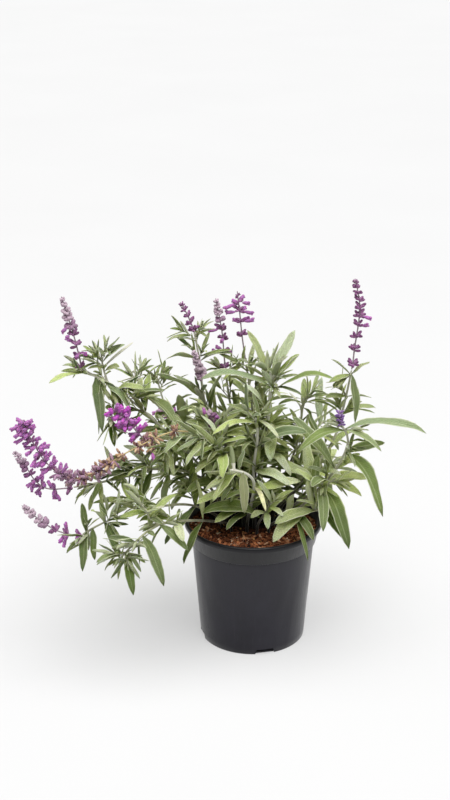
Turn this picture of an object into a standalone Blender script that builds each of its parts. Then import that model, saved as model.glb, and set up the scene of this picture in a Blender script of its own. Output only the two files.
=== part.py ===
# Potted Mexican bush sage: the solids of the pot, the potting mix, the leafy stems and the
# flower spikes, in metres, +Z up. The origin is the centre of the pot's flat underside, and
# -Y is the side that the plant is looked at from.
import math
import random

import bmesh
import bpy
from mathutils import Matrix, Vector, noise
from mathutils.bvhtree import BVHTree

# Clearance between pieces that touch on the real plant, and distances that count as nothing.
GAP = 0.0003
MERGE_DISTANCE = 0.00001
SAME_POINT = 0.000001

# Nursery pot: a moulded shell with a tapered wall, a stepped collar and a rolled lip.
POT_HEIGHT = 0.1545
RIM_RADIUS = 0.085
BASE_RADIUS = 0.0652
WALL_TOP_RADIUS = 0.0755
COLLAR_FOOT_RADIUS = 0.0785
COLLAR_TOP_RADIUS = 0.0825
COLLAR_FOOT_HEIGHT = 0.129
LIP_DEPTH = 0.006
FILLET = 0.0012
WALL = 0.0016
FLOOR = 0.0022
POT_SEGMENTS = 32
DRAIN_NOTCHES = 4
NOTCH_WIDTH = 0.027
NOTCH_HEIGHT = 0.0065
NOTCH_DEPTH = 0.009
NOTCH_TAPER = 0.8
NOTCH_FIRST = math.radians(-77)
POT_CREASE = math.radians(35)

# Potting mix: a lumpy plug of coir and bark that fills the pot.
SOIL_EDGE_HEIGHT = 0.1465
SOIL_FOOT_HEIGHT = 0.012
SOIL_CROWN = 0.003
SOIL_LUMP = 0.0022
SOIL_LUMP_SCALE = 90
SOIL_LUMP_PLACE = 0.01
SOIL_RINGS = (0.72, 0.38, 0)
SOIL_SEGMENTS = 24
SOIL_CREASE = math.radians(50)
STEM_DEPTH = 0.028
STEM_NECK = 0.004
STEM_HOLE_TOP = 0.01
SOIL_TOP = 0.1525

# Stems: square in section, as on every sage.
STEM_RADIUS = 0.0023
SHOOT_RADIUS = 0.0015
TIP_RADIUS = 0.0011
CURVE_STEP = 0.005
LEVEL_LEAST = 0.05
CHORD_ERROR = 0.0009
TIP_LENGTH = 2.5

# Joints: the short lengths of a stem that leaves, side shoots and calyces grow from. A leaf
# takes the face that suits its heading on a joint near by, or on a new joint.
JOINT_HALF = 0.0012
JOINT_REACH = 0.006
JOINT_NEAR = 1.6 * JOINT_REACH
JOINT_STEP = 0.2 * JOINT_REACH
JOINT_END = 2.5 * JOINT_HALF
SPIKE_FIRST_JOINT = 3 * JOINT_HALF
FIT_LEAST = 0.3
FIT_LOSS = 0.2

# Leaves: narrow lances with a rib below and lifted edges. The width grows with the length, and
# along the blade it is a power of the way from each end, scaled to 1 where it is widest.
LEAF_WIDTH = 0.0135
LEAF_WIDTH_LENGTH = 0.08
LEAF_WIDTH_POWER = 0.8
PETIOLE = 0.0009
PETIOLE_SHARE = 0.07
BLADE_SHARE = 0.93
BLADE_SCALE = 2.57
BLADE_ROOT_POWER = 0.62
BLADE_TIP_POWER = 0.75
RIB_DEPTH = 0.0012
KEEL = math.radians(24)
SHORT_LEAF = 0.026
LONG_LEAF = 0.056
SHORT_STATIONS = (0.45,)
MIDDLE_STATIONS = (0.28, 0.66)
LONG_STATIONS = (0.15, 0.42, 0.76)

# How leaves lie: upright ones take their side from where they stand, and all of them turn
# their faces out of the plant and a little to the front.
UPRIGHT = 0.3
FRONTWARD = 0.02
SIDEWARD = 0.4
FACE_OUT = 0.5
CHOSEN_ROLL = 0.35
CHOSEN_ARCH = (0.8, 1.25)
CHOSEN_STRAY = 0.0022
PAIR_ROLL = 0.3
PAIR_STRAY = 0.06
PAIR_RISE = (0.3, 0.75)
PAIR_DROOP = (0.25, 0.75)
PAIR_LENGTH = (0.85, 1.1)

# A leaf or a flower that would touch another one is tried again, a little smaller or turned.
TRIES = 28
SHRINK = 0.012
ROOT_LENGTH = 0.0022
SEAT_LENGTH = 0.1 * ROOT_LENGTH
RIM_CLEARANCE = 0.0015
RIM_STEPS = 16

# Flower spikes: rings of woolly calyces on a thin axis, with open corollas on some.
AXIS_RADIUS = 0.0013
AXIS_TAPER = 0.7
AXIS_START = 2 * AXIS_RADIUS
AXIS_FREE = 6 * AXIS_RADIUS
WHORL_GROWTH = 1.4
WHORL_TOP = 0.3
WHORL_FOOT = 0.7
FIRST_WHORL = 0.07
CALYX_LENGTH = 0.009
CALYX_RADIUS = 0.0024
CALYX_BELLY = 0.72
CALYX_RISE = (0.2, 0.5)
CALYX_RISE_STEP = 0.02
YOUNGEST_SIZE = 0.5
SIZE_STEP = 0.12
BUD_LENGTH = 0.005

# An open corolla, as shares of its way from the calyx's tip and of its radius: a tube, a
# cheek, and a mouth between a hood and a hanging lip, hollowed to a throat.
COROLLA_RADIUS = 0.0023
COROLLA_STRAY = 0.0008
COROLLA_PULL = 1.2
COROLLA_CALYX = 0.9
TUBE_RADIUS = 0.6
CHEEK_PLACE = 0.6
CHEEK_RISE = 0.1
CHEEK_RADIUS = 1.15
MOUTH_PLACE = 0.9
LIP_RADIUS = 1.7
LIP_BACK = 0.12
THROAT_PLACE = 0.74
THROAT_RISE = 0.08

# Colour and roughness of each material; none is metal.
LEAF_SAGE = (0.34, 0.42, 0.25), 0.8
CALYX_PURPLE = (0.23, 0.07, 0.22), 0.85
POT_BLACK = (0.028, 0.027, 0.031), 0.42
COIR_BROWN = (0.20, 0.075, 0.036), 0.95

UP = Vector((0, 0, 1))


# The plant, stem by stem. A route runs from just above the potting mix to the shoot's tip or
# to the foot of its spike. A leaf is (share of the way along, where its tip is, how far it
# arches). Pairs are (first share, last share, number, leaf length) of the opposite leaves
# that fill the stem. A shoot is a side branch with its own leaves.
STEMS = [
    dict(
        name="upper_left", foot=(-0.024, 0.014),
        route=[(-0.060, 0.010, 0.215), (-0.125, 0.000, 0.290), (-0.170, -0.010, 0.333),
               (-0.203, -0.010, 0.354)],
        leaves=[(0.97, (-0.232, -0.030, 0.358), 0.12), (0.96, (-0.230, 0.015, 0.350), 0.15),
                (0.93, (-0.180, -0.038, 0.285), 0.25), (0.88, (-0.195, 0.015, 0.322), 0.25),
                (0.86, (-0.186, -0.020, 0.275), 0.2), (0.84, (-0.130, -0.035, 0.338), 0.2),
                (0.80, (-0.108, -0.020, 0.330), 0.2), (0.72, (-0.135, 0.030, 0.330), 0.15)],
        pairs=(0.42, 0.68, 3, 0.052),
        shoots=[dict(route=[(-0.174, -0.010, 0.337), (-0.179, -0.010, 0.356), (-0.181, -0.010, 0.374)],
                     leaves=[(0.9, (-0.166, -0.010, 0.390), -0.05), (0.7, (-0.152, -0.020, 0.388), 0.1),
                             (0.7, (-0.203, 0.000, 0.380), 0.1), (0.95, (-0.184, -0.012, 0.396), 0),
                             (0.5, (-0.204, -0.030, 0.374), 0.1), (0.5, (-0.158, -0.036, 0.366), 0.15)]),
                dict(route=[(-0.150, -0.006, 0.317), (-0.166, -0.012, 0.306), (-0.175, -0.018, 0.293)],
                     leaves=[(0.9, (-0.202, -0.020, 0.293), 0.1), (0.95, (-0.198, -0.028, 0.270), 0.1),
                             (0.97, (-0.168, -0.034, 0.262), 0.1), (0.8, (-0.155, -0.030, 0.290), 0.1)])],
        spike=[(-0.206, -0.010, 0.365), (-0.213, -0.010, 0.398), (-0.225, -0.010, 0.443)],
        whorls=9, corollas=[(-0.226, -0.018, 0.402), (-0.221, -0.020, 0.396)]),
    dict(
        name="left_back", foot=(-0.014, 0.024),
        route=[(-0.065, 0.040, 0.240), (-0.110, 0.050, 0.278), (-0.135, 0.050, 0.308),
               (-0.146, 0.050, 0.330)],
        leaves=[(0.97, (-0.156, 0.050, 0.350), 0), (0.96, (-0.124, 0.040, 0.350), 0.1),
                (0.93, (-0.168, 0.060, 0.335), 0.1), (0.90, (-0.113, 0.070, 0.332), 0.15),
                (0.84, (-0.170, 0.025, 0.318), 0.2), (0.74, (-0.088, 0.018, 0.268), 0.15, 1.5),
                (0.66, (-0.122, 0.015, 0.285), 0.25)],
        pairs=(0.4, 0.6, 2, 0.06),
        shoots=[dict(route=[(-0.108, 0.050, 0.277), (-0.114, 0.055, 0.300), (-0.119, 0.055, 0.322)],
                     leaves=[(0.9, (-0.104, 0.050, 0.326), 0.1), (0.95, (-0.120, 0.055, 0.342), 0),
                             (0.8, (-0.136, 0.040, 0.330), 0.1), (0.5, (-0.095, 0.070, 0.306), 0.2)])]),
    dict(
        name="left_mid", foot=(-0.034, 0.005),
        route=[(-0.065, -0.008, 0.214), (-0.120, -0.018, 0.229), (-0.165, -0.028, 0.220),
               (-0.218, -0.030, 0.210)],
        leaves=[(0.86, (-0.198, -0.050, 0.188), 0.2), (0.84, (-0.180, -0.055, 0.196), 0.2),
                (0.76, (-0.148, -0.060, 0.206), 0.2), (0.80, (-0.152, -0.012, 0.240), 0.2),
                (0.70, (-0.180, -0.005, 0.232), 0.25), (0.62, (-0.150, -0.055, 0.235), 0.2)],
        pairs=(0.36, 0.62, 3, 0.055),
        spike=[(-0.225, -0.031, 0.209), (-0.247, -0.033, 0.209), (-0.263, -0.032, 0.219),
               (-0.273, -0.030, 0.236), (-0.287, -0.030, 0.256)],
        whorls=9, corollas=[(-0.250, -0.045, 0.220), (-0.258, -0.040, 0.203), (-0.240, -0.048, 0.204),
                            (-0.266, -0.046, 0.211), (-0.232, -0.040, 0.196)]),
    dict(
        name="lower_left", foot=(-0.038, -0.010),
        route=[(-0.078, -0.030, 0.187), (-0.132, -0.050, 0.190), (-0.180, -0.060, 0.177),
               (-0.206, -0.060, 0.161)],
        leaves=[(0.96, (-0.206, -0.050, 0.198), 0.05), (0.86, (-0.184, -0.042, 0.198), 0.1),
                (0.80, (-0.160, -0.060, 0.222), 0.1), (0.83, (-0.192, -0.085, 0.204), 0.2),
                (0.97, (-0.224, -0.075, 0.116), 0.2), (0.92, (-0.200, -0.085, 0.142), 0.2),
                (0.88, (-0.160, -0.085, 0.142), 0.2), (0.68, (-0.196, -0.035, 0.192), 0.2),
                (0.62, (-0.150, -0.035, 0.216), 0.1)],
        pairs=(0.34, 0.56, 2, 0.055),
        spike=[(-0.212, -0.060, 0.159), (-0.232, -0.061, 0.165), (-0.251, -0.061, 0.177),
               (-0.276, -0.060, 0.199)],
        whorls=8, corollas=[(-0.228, -0.072, 0.149), (-0.234, -0.070, 0.156)]),
    dict(
        name="front_left", foot=(-0.026, -0.024),
        route=[(-0.075, -0.060, 0.180), (-0.112, -0.084, 0.186), (-0.136, -0.098, 0.174),
               (-0.154, -0.105, 0.156)],
        leaves=[(0.98, (-0.178, -0.112, 0.138), 0.15), (0.97, (-0.128, -0.108, 0.148), 0.15),
                (0.96, (-0.136, -0.122, 0.112), 0.2), (0.84, (-0.106, -0.125, 0.126), 0.2),
                (0.80, (-0.116, -0.110, 0.184), 0.1), (0.90, (-0.172, -0.094, 0.174), 0.1),
                (0.70, (-0.078, -0.112, 0.166), 0.15), (0.74, (-0.158, -0.128, 0.160), 0.25)],
        pairs=(0.40, 0.60, 2, 0.055),
        shoots=[dict(route=[(-0.114, -0.085, 0.186), (-0.123, -0.090, 0.197), (-0.127, -0.091, 0.208)],
                     leaves=[(0.95, (-0.140, -0.095, 0.224), 0), (0.9, (-0.121, -0.090, 0.227), 0),
                             (0.8, (-0.154, -0.100, 0.206), 0.15), (0.85, (-0.108, -0.096, 0.214), 0.1),
                             (0.6, (-0.092, -0.078, 0.222), 0.15), (0.4, (-0.078, -0.082, 0.214), 0.2)])]),
    dict(
        name="arching", foot=(-0.012, -0.009),
        route=[(-0.030, -0.038, 0.240), (-0.045, -0.050, 0.272), (-0.062, -0.055, 0.288),
               (-0.076, -0.055, 0.292)],
        leaves=[(0.86, (-0.080, -0.085, 0.262), 0.2), (0.78, (-0.010, -0.070, 0.290), 0.2),
                (0.70, (-0.070, -0.075, 0.248), 0.2)],
        pairs=(0.42, 0.66, 2, 0.07),
        spike=[(-0.079, -0.055, 0.292), (-0.096, -0.056, 0.293), (-0.116, -0.059, 0.286),
               (-0.137, -0.060, 0.275), (-0.160, -0.060, 0.262), (-0.184, -0.060, 0.244),
               (-0.208, -0.060, 0.235), (-0.228, -0.060, 0.239), (-0.246, -0.060, 0.256),
               (-0.260, -0.060, 0.281), (-0.272, -0.060, 0.309)],
        whorls=17, corollas=[(-0.286, -0.066, 0.298), (-0.281, -0.070, 0.290), (-0.282, -0.066, 0.281),
                             (-0.236, -0.074, 0.282), (-0.218, -0.072, 0.259), (-0.268, -0.074, 0.270),
                             (-0.262, -0.076, 0.254)]),
    dict(
        name="second_cluster", foot=(-0.020, 0.002),
        route=[(-0.042, -0.010, 0.240), (-0.066, -0.018, 0.262), (-0.092, -0.028, 0.269),
               (-0.118, -0.035, 0.264)],
        leaves=[(0.93, (-0.082, -0.055, 0.258), 0.2), (0.80, (-0.128, -0.070, 0.262), 0.2),
                (0.90, (-0.112, -0.055, 0.240), 0.2), (0.70, (-0.052, -0.060, 0.235), 0.2),
                (0.86, (-0.140, -0.008, 0.262), 0.2)],
        pairs=(0.40, 0.66, 2, 0.065),
        spike=[(-0.124, -0.036, 0.266), (-0.134, -0.037, 0.279), (-0.148, -0.037, 0.296),
               (-0.165, -0.036, 0.313)],
        whorls=8, corollas=[(-0.170, -0.044, 0.318), (-0.172, -0.040, 0.308), (-0.160, -0.052, 0.300),
                            (-0.150, -0.050, 0.312), (-0.152, -0.054, 0.292), (-0.142, -0.052, 0.303),
                            (-0.162, -0.030, 0.296), (-0.118, -0.052, 0.252)]),
    dict(
        name="top_left", foot=(-0.009, 0.013),
        route=[(-0.040, 0.034, 0.258), (-0.060, 0.040, 0.296), (-0.066, 0.040, 0.350),
               (-0.072, 0.040, 0.385)],
        leaves=[(0.86, (-0.106, 0.020, 0.356), 0.25), (0.85, (-0.026, 0.028, 0.360), 0.2),
                (0.97, (-0.052, 0.038, 0.402), 0.1), (0.95, (-0.082, 0.030, 0.392), 0.1),
                (0.93, (-0.060, 0.052, 0.395), 0.1), (0.68, (-0.118, 0.018, 0.338), 0.15),
                (0.66, (-0.086, 0.030, 0.352), 0), (0.64, (-0.038, 0.045, 0.345), 0.1),
                (0.58, (-0.094, 0.016, 0.292), 0.3), (0.56, (-0.092, 0.066, 0.300), 0.2)],
        pairs=(0.30, 0.50, 2, 0.06),
        shoots=[dict(route=[(-0.064, 0.040, 0.326), (-0.064, 0.026, 0.334)], leaves=[],
                     spike=[(-0.0642, 0.0245, 0.337), (-0.068, 0.018, 0.352), (-0.072, 0.014, 0.368)],
                     whorls=5, corollas=[])],
        spike=[(-0.075, 0.040, 0.393), (-0.080, 0.040, 0.406), (-0.088, 0.040, 0.421)],
        whorls=5, corollas=[]),
    dict(
        name="top_spike_a", foot=(-0.001, 0.025),
        route=[(-0.019, 0.048, 0.245), (-0.029, 0.054, 0.290), (-0.034, 0.055, 0.330)],
        leaves=[(0.97, (-0.012, 0.045, 0.352), 0.1), (0.95, (-0.060, 0.060, 0.340), 0.1)],
        pairs=(0.34, 0.82, 4, 0.055),
        spike=[(-0.0355, 0.055, 0.345), (-0.038, 0.055, 0.377), (-0.042, 0.055, 0.401),
               (-0.046, 0.055, 0.421)],
        whorls=8, corollas=[(-0.058, 0.046, 0.384), (-0.052, 0.048, 0.359)]),
    dict(
        name="top_spike_b", foot=(0.004, 0.012),
        route=[(0.001, 0.028, 0.262), (-0.005, 0.034, 0.318), (-0.009, 0.035, 0.345)],
        leaves=[(0.95, (0.014, 0.025, 0.365), 0.1), (0.93, (-0.030, 0.022, 0.352), 0.15)],
        pairs=(0.34, 0.80, 4, 0.06),
        spike=[(-0.011, 0.035, 0.358), (-0.014, 0.035, 0.380), (-0.017, 0.035, 0.410),
               (-0.020, 0.035, 0.436)],
        whorls=5, first=0.42,
        corollas=[(-0.038, 0.028, 0.416), (0.001, 0.028, 0.411), (0.002, 0.022, 0.406),
                  (-0.036, 0.030, 0.412), (-0.004, 0.024, 0.425)]),
    dict(
        name="centre_tall", foot=(0.002, 0.000),
        route=[(0.012, 0.000, 0.245), (0.018, 0.000, 0.295), (0.020, 0.000, 0.330),
               (0.020, 0.000, 0.350)],
        leaves=[(0.96, (0.013, 0.010, 0.398), 0.02), (0.97, (0.026, 0.000, 0.390), 0),
                (0.96, (0.033, 0.012, 0.386), 0.05), (0.92, (0.046, -0.014, 0.376), 0.1),
                (0.90, (0.054, 0.010, 0.366), 0.15), (0.88, (-0.064, -0.012, 0.342), 0.3),
                (0.86, (0.094, -0.022, 0.346), 0.3), (0.64, (0.019, -0.050, 0.252), 0.35, 1.35),
                (0.74, (-0.014, -0.030, 0.340), 0.2), (0.68, (-0.012, -0.040, 0.300), 0.25),
                (0.60, (0.062, 0.005, 0.262), 0.25), (0.50, (0.044, -0.046, 0.232), 0.3)],
        pairs=(0.30, 0.62, 3, 0.075)),
    dict(
        name="centre_front", foot=(0.001, -0.014),
        route=[(0.000, -0.029, 0.235), (0.004, -0.034, 0.275), (0.002, -0.035, 0.300)],
        leaves=[(0.97, (-0.050, -0.055, 0.288), 0.25), (0.98, (-0.012, -0.052, 0.317), 0.05),
                (0.98, (0.013, -0.036, 0.318), 0.05), (0.78, (-0.034, -0.055, 0.270), 0.25),
                (0.74, (0.040, -0.050, 0.268), 0.25), (0.90, (-0.020, -0.014, 0.330), 0.1)],
        pairs=(0.34, 0.60, 2, 0.065)),
    dict(
        name="nodding", foot=(-0.008, -0.024),
        route=[(0.000, -0.052, 0.218), (-0.004, -0.068, 0.240), (-0.015, -0.076, 0.250),
               (-0.027, -0.080, 0.254)],
        leaves=[(0.98, (-0.029, -0.074, 0.290), 0), (0.97, (-0.012, -0.074, 0.277), 0),
                (0.98, (-0.058, -0.094, 0.250), 0.15), (0.94, (-0.022, -0.096, 0.184), 0.2),
                (0.90, (-0.012, -0.096, 0.206), 0.2, 1.2), (0.96, (-0.040, -0.092, 0.214), 0.2),
                (0.66, (0.013, -0.094, 0.208), 0.2), (0.62, (0.014, -0.082, 0.247), 0.1),
                (0.56, (-0.034, -0.076, 0.215), 0.15)],
        pairs=(0.36, 0.48, 1, 0.05)),
    dict(
        name="low_front", foot=(0.004, -0.030),
        route=[(0.011, -0.048, 0.180), (0.020, -0.056, 0.202)],
        leaves=[(0.62, (-0.062, -0.066, 0.192), 0.3), (0.80, (-0.004, -0.078, 0.192), 0.15),
                (0.82, (0.016, -0.084, 0.180), 0.15), (0.92, (0.034, -0.078, 0.194), 0.1),
                (0.97, (0.046, -0.058, 0.222), 0.1), (0.97, (0.008, -0.066, 0.230), 0.05)],
        pairs=None),
    dict(
        name="front_right", foot=(0.018, -0.028),
        route=[(0.054, -0.049, 0.183), (0.076, -0.060, 0.194)],
        leaves=[(0.95, (0.024, -0.082, 0.186), 0.15, 1.25), (0.82, (0.022, -0.086, 0.164), 0.2, 1.3),
                (0.84, (0.068, -0.090, 0.180), 0.15), (0.70, (0.072, -0.100, 0.152), 0.3),
                (0.97, (0.062, -0.062, 0.234), 0.05), (0.96, (0.102, -0.086, 0.190), 0.15),
                (0.60, (0.046, -0.064, 0.216), 0.1)],
        pairs=None),
    dict(
        name="right_tall", foot=(0.024, 0.008),
        route=[(0.065, 0.014, 0.205), (0.098, 0.020, 0.250), (0.111, 0.020, 0.302),
               (0.118, 0.020, 0.342)],
        leaves=[(0.97, (0.094, 0.026, 0.354), 0.1), (0.97, (0.140, 0.022, 0.352), 0.1),
                (0.96, (0.090, 0.000, 0.334), 0.1), (0.95, (0.122, -0.006, 0.284), 0.3, 1.1),
                (0.86, (0.098, 0.034, 0.328), 0.05), (0.86, (0.142, 0.006, 0.312), 0.1),
                (0.84, (0.086, 0.002, 0.314), 0.1), (0.76, (0.078, 0.045, 0.292), 0.2),
                (0.76, (0.152, 0.050, 0.282), 0.2), (0.56, (0.146, 0.065, 0.246), 0.25)],
        pairs=(0.34, 0.52, 2, 0.07),
        spike=[(0.1195, 0.020, 0.352), (0.121, 0.020, 0.372), (0.125, 0.020, 0.405),
               (0.125, 0.020, 0.428), (0.119, 0.020, 0.456)],
        whorls=10, corollas=[(0.140, 0.010, 0.410), (0.136, 0.008, 0.404)]),
    dict(
        name="right_front", foot=(0.024, -0.008),
        route=[(0.075, -0.030, 0.205), (0.100, -0.046, 0.246), (0.110, -0.055, 0.280),
               (0.102, -0.060, 0.302)],
        leaves=[(0.96, (0.202, -0.050, 0.288), 0.25), (0.97, (0.146, -0.085, 0.280), 0.2),
                (0.80, (0.156, -0.030, 0.268), 0.1), (0.82, (0.150, -0.092, 0.200), 0.35, 1.1),
                (0.92, (0.050, -0.075, 0.274), 0.25), (0.98, (0.050, -0.066, 0.348), 0.12),
                (0.68, (0.072, -0.060, 0.288), 0.1), (0.72, (0.126, -0.040, 0.258), 0.1),
                (0.88, (0.124, -0.078, 0.296), 0.1)],
        pairs=(0.30, 0.58, 3, 0.07),
        spike=[(0.1005, -0.0605, 0.307), (0.099, -0.061, 0.313), (0.0985, -0.061, 0.320)],
        whorls=3, corollas=[]),
    dict(
        name="right_low", foot=(0.030, -0.020),
        route=[(0.060, -0.036, 0.190), (0.079, -0.045, 0.214), (0.096, -0.050, 0.230)],
        leaves=[(0.84, (0.112, -0.088, 0.156), 0.35, 1.1), (0.80, (0.086, -0.080, 0.160), 0.3),
                (0.95, (0.128, -0.056, 0.210), 0.15), (0.96, (0.126, -0.028, 0.205), 0.15),
                (0.58, (0.112, -0.082, 0.222), 0.2, 1.3), (0.78, (0.048, -0.070, 0.250), 0.2),
                (0.70, (0.078, -0.016, 0.246), 0.1)],
        pairs=None),
    dict(
        name="mid_right", foot=(0.013, 0.022),
        route=[(0.044, 0.030, 0.210), (0.058, 0.035, 0.256), (0.061, 0.035, 0.300)],
        leaves=[(0.97, (0.030, 0.008, 0.302), 0.15), (0.96, (0.096, 0.026, 0.298), 0.15),
                (0.98, (0.060, 0.036, 0.330), 0), (0.95, (0.078, 0.008, 0.262), 0.3),
                (0.93, (0.072, 0.050, 0.332), 0.05), (0.76, (0.102, 0.012, 0.248), 0.2),
                (0.74, (0.024, 0.004, 0.256), 0.2)],
        pairs=(0.34, 0.62, 3, 0.065)),
    dict(
        name="small_spike", foot=(-0.010, 0.002),
        route=[(-0.036, 0.002, 0.225), (-0.046, -0.006, 0.262), (-0.047, -0.008, 0.276)],
        leaves=[(0.96, (-0.082, -0.012, 0.298), 0.15), (0.95, (-0.020, -0.012, 0.300), 0.1),
                (0.92, (-0.060, 0.018, 0.302), 0.1)],
        pairs=(0.40, 0.78, 3, 0.055),
        spike=[(-0.048, -0.0085, 0.282), (-0.050, -0.009, 0.291), (-0.054, -0.009, 0.301)],
        whorls=4, corollas=[(-0.042, -0.016, 0.296), (-0.060, -0.012, 0.306)]),
    dict(
        name="back_left", foot=(-0.024, 0.036),
        route=[(-0.046, 0.066, 0.200), (-0.072, 0.092, 0.230), (-0.092, 0.110, 0.246)],
        leaves=[], pairs=(0.34, 0.95, 5, 0.062),
        spike=[(-0.097, 0.115, 0.246), (-0.110, 0.132, 0.240), (-0.120, 0.146, 0.244)],
        whorls=6, corollas=[(-0.130, 0.150, 0.236), (-0.106, 0.148, 0.228)]),
    dict(
        name="back", foot=(0.000, 0.038),
        route=[(0.004, 0.070, 0.205), (0.008, 0.100, 0.240), (0.009, 0.120, 0.262)],
        leaves=[], pairs=(0.32, 0.96, 6, 0.07)),
    dict(
        name="back_right", foot=(0.022, 0.034),
        route=[(0.048, 0.064, 0.200), (0.074, 0.092, 0.228), (0.092, 0.112, 0.240)],
        leaves=[], pairs=(0.34, 0.95, 5, 0.062)),
    dict(
        name="back_low_left", foot=(-0.036, 0.024),
        route=[(-0.074, 0.058, 0.176), (-0.102, 0.086, 0.182), (-0.124, 0.106, 0.166)],
        leaves=[], pairs=(0.42, 0.96, 5, 0.056)),
    dict(
        name="back_low_right", foot=(0.034, 0.022),
        route=[(0.064, 0.056, 0.176), (0.086, 0.088, 0.184), (0.100, 0.112, 0.170)],
        leaves=[], pairs=(0.42, 0.96, 5, 0.056)),
]


def clear_scene():
    for old in list(bpy.data.objects):
        bpy.data.objects.remove(old, do_unlink=True)


def material(name, colour, roughness):
    made = bpy.data.materials.new(name)
    made.use_nodes = True
    shader = made.node_tree.nodes["Principled BSDF"]
    shader.inputs["Base Color"].default_value = (*colour, 1)
    shader.inputs["Roughness"].default_value = roughness
    shader.inputs["Metallic"].default_value = 0
    return made


def new_object(name, bm, finish):
    mesh = bpy.data.meshes.new(name)
    bmesh.ops.recalc_face_normals(bm, faces=bm.faces)
    bm.to_mesh(mesh)
    bm.free()
    mesh.materials.append(finish)
    made = bpy.data.objects.new(name, mesh)
    bpy.context.scene.collection.objects.link(made)
    return made


def cut(target, cutters):
    """Cut every cutter out of the target, apply the cut, and remove the cutters."""
    group = bpy.data.collections.new("cutters")
    bpy.context.scene.collection.children.link(group)
    for cutter in cutters:
        group.objects.link(cutter)
    step = target.modifiers.new("cut", "BOOLEAN")
    step.operation = "DIFFERENCE"
    step.operand_type = "COLLECTION"
    step.collection = group
    step.solver = "EXACT"
    depsgraph = bpy.context.evaluated_depsgraph_get()
    result = bpy.data.meshes.new_from_object(target.evaluated_get(depsgraph))
    target.modifiers.remove(step)
    target.data = result
    for cutter in cutters:
        bpy.data.objects.remove(cutter, do_unlink=True)
    bpy.data.collections.remove(group)


def pot_outside():
    """Half section of the pot's outside, from the axis up to the top of the lip."""
    lip_foot = POT_HEIGHT - LIP_DEPTH
    return [
        (0, 0), (BASE_RADIUS - FILLET, 0), (BASE_RADIUS, FILLET),
        (WALL_TOP_RADIUS, COLLAR_FOOT_HEIGHT - FILLET), (COLLAR_FOOT_RADIUS, COLLAR_FOOT_HEIGHT + FILLET),
        (COLLAR_TOP_RADIUS, lip_foot - FILLET), (RIM_RADIUS, lip_foot),
        (RIM_RADIUS, POT_HEIGHT - FILLET), (RIM_RADIUS - FILLET, POT_HEIGHT),
    ]


def pot_inside():
    """Half section of the pot's inside, from the axis up to the top of the lip."""
    return [
        (0, FLOOR), (BASE_RADIUS - WALL, FLOOR), (WALL_TOP_RADIUS - WALL, COLLAR_FOOT_HEIGHT - FILLET),
        (COLLAR_FOOT_RADIUS - WALL, COLLAR_FOOT_HEIGHT + FILLET),
        (COLLAR_TOP_RADIUS - WALL, POT_HEIGHT - FILLET), (COLLAR_TOP_RADIUS - WALL + FILLET, POT_HEIGHT),
    ]


def inner_radius(height):
    """Inside radius of the pot at a height."""
    inside = pot_inside()[1:]
    for (r0, z0), (r1, z1) in zip(inside, inside[1:]):
        if height <= z1:
            return r0 + (r1 - r0) * (height - z0) / (z1 - z0)
    return inside[-1][0]


def turned(profile, segments):
    """A half section turned about the Z axis."""
    bm = bmesh.new()
    verts = [bm.verts.new((radius, 0, height)) for radius, height in profile]
    edges = [bm.edges.new(pair) for pair in zip(verts, verts[1:])]
    bmesh.ops.spin(bm, geom=verts + edges, cent=(0, 0, 0), axis=(0, 0, 1),
                   angle=2 * math.pi, steps=segments, use_merge=True)
    bmesh.ops.remove_doubles(bm, verts=bm.verts, dist=MERGE_DISTANCE)
    return bm


def pot(finish):
    made = new_object("pot", turned(pot_outside() + pot_inside()[::-1], POT_SEGMENTS), finish)
    cutters = []
    for k in range(DRAIN_NOTCHES):
        notch = bmesh.new()
        turn = NOTCH_FIRST + 2 * math.pi * k / DRAIN_NOTCHES
        bmesh.ops.create_cube(notch, size=1)
        bmesh.ops.scale(notch, vec=(NOTCH_DEPTH, NOTCH_WIDTH, 2 * NOTCH_HEIGHT), verts=notch.verts)
        for vert in notch.verts:
            if vert.co.z > 0:
                vert.co.y *= NOTCH_TAPER
        bmesh.ops.translate(notch, vec=(BASE_RADIUS, 0, 0), verts=notch.verts)
        bmesh.ops.rotate(notch, cent=(0, 0, 0), matrix=Matrix.Rotation(turn, 3, "Z"), verts=notch.verts)
        cutters.append(new_object("notch", notch, finish))
    cut(made, cutters)
    made.data.shade_smooth()
    made.data.set_sharp_from_angle(angle=POT_CREASE)


def soil_height(x, y):
    """Top of the potting mix: a low crown with lumps."""
    edge = inner_radius(SOIL_EDGE_HEIGHT)
    crown = SOIL_CROWN * math.cos(0.5 * math.pi * min(1, math.hypot(x, y) / edge))
    lump = noise.noise(Vector((x, y, SOIL_LUMP_PLACE)) * SOIL_LUMP_SCALE)
    return SOIL_EDGE_HEIGHT + crown + SOIL_LUMP * lump


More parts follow.
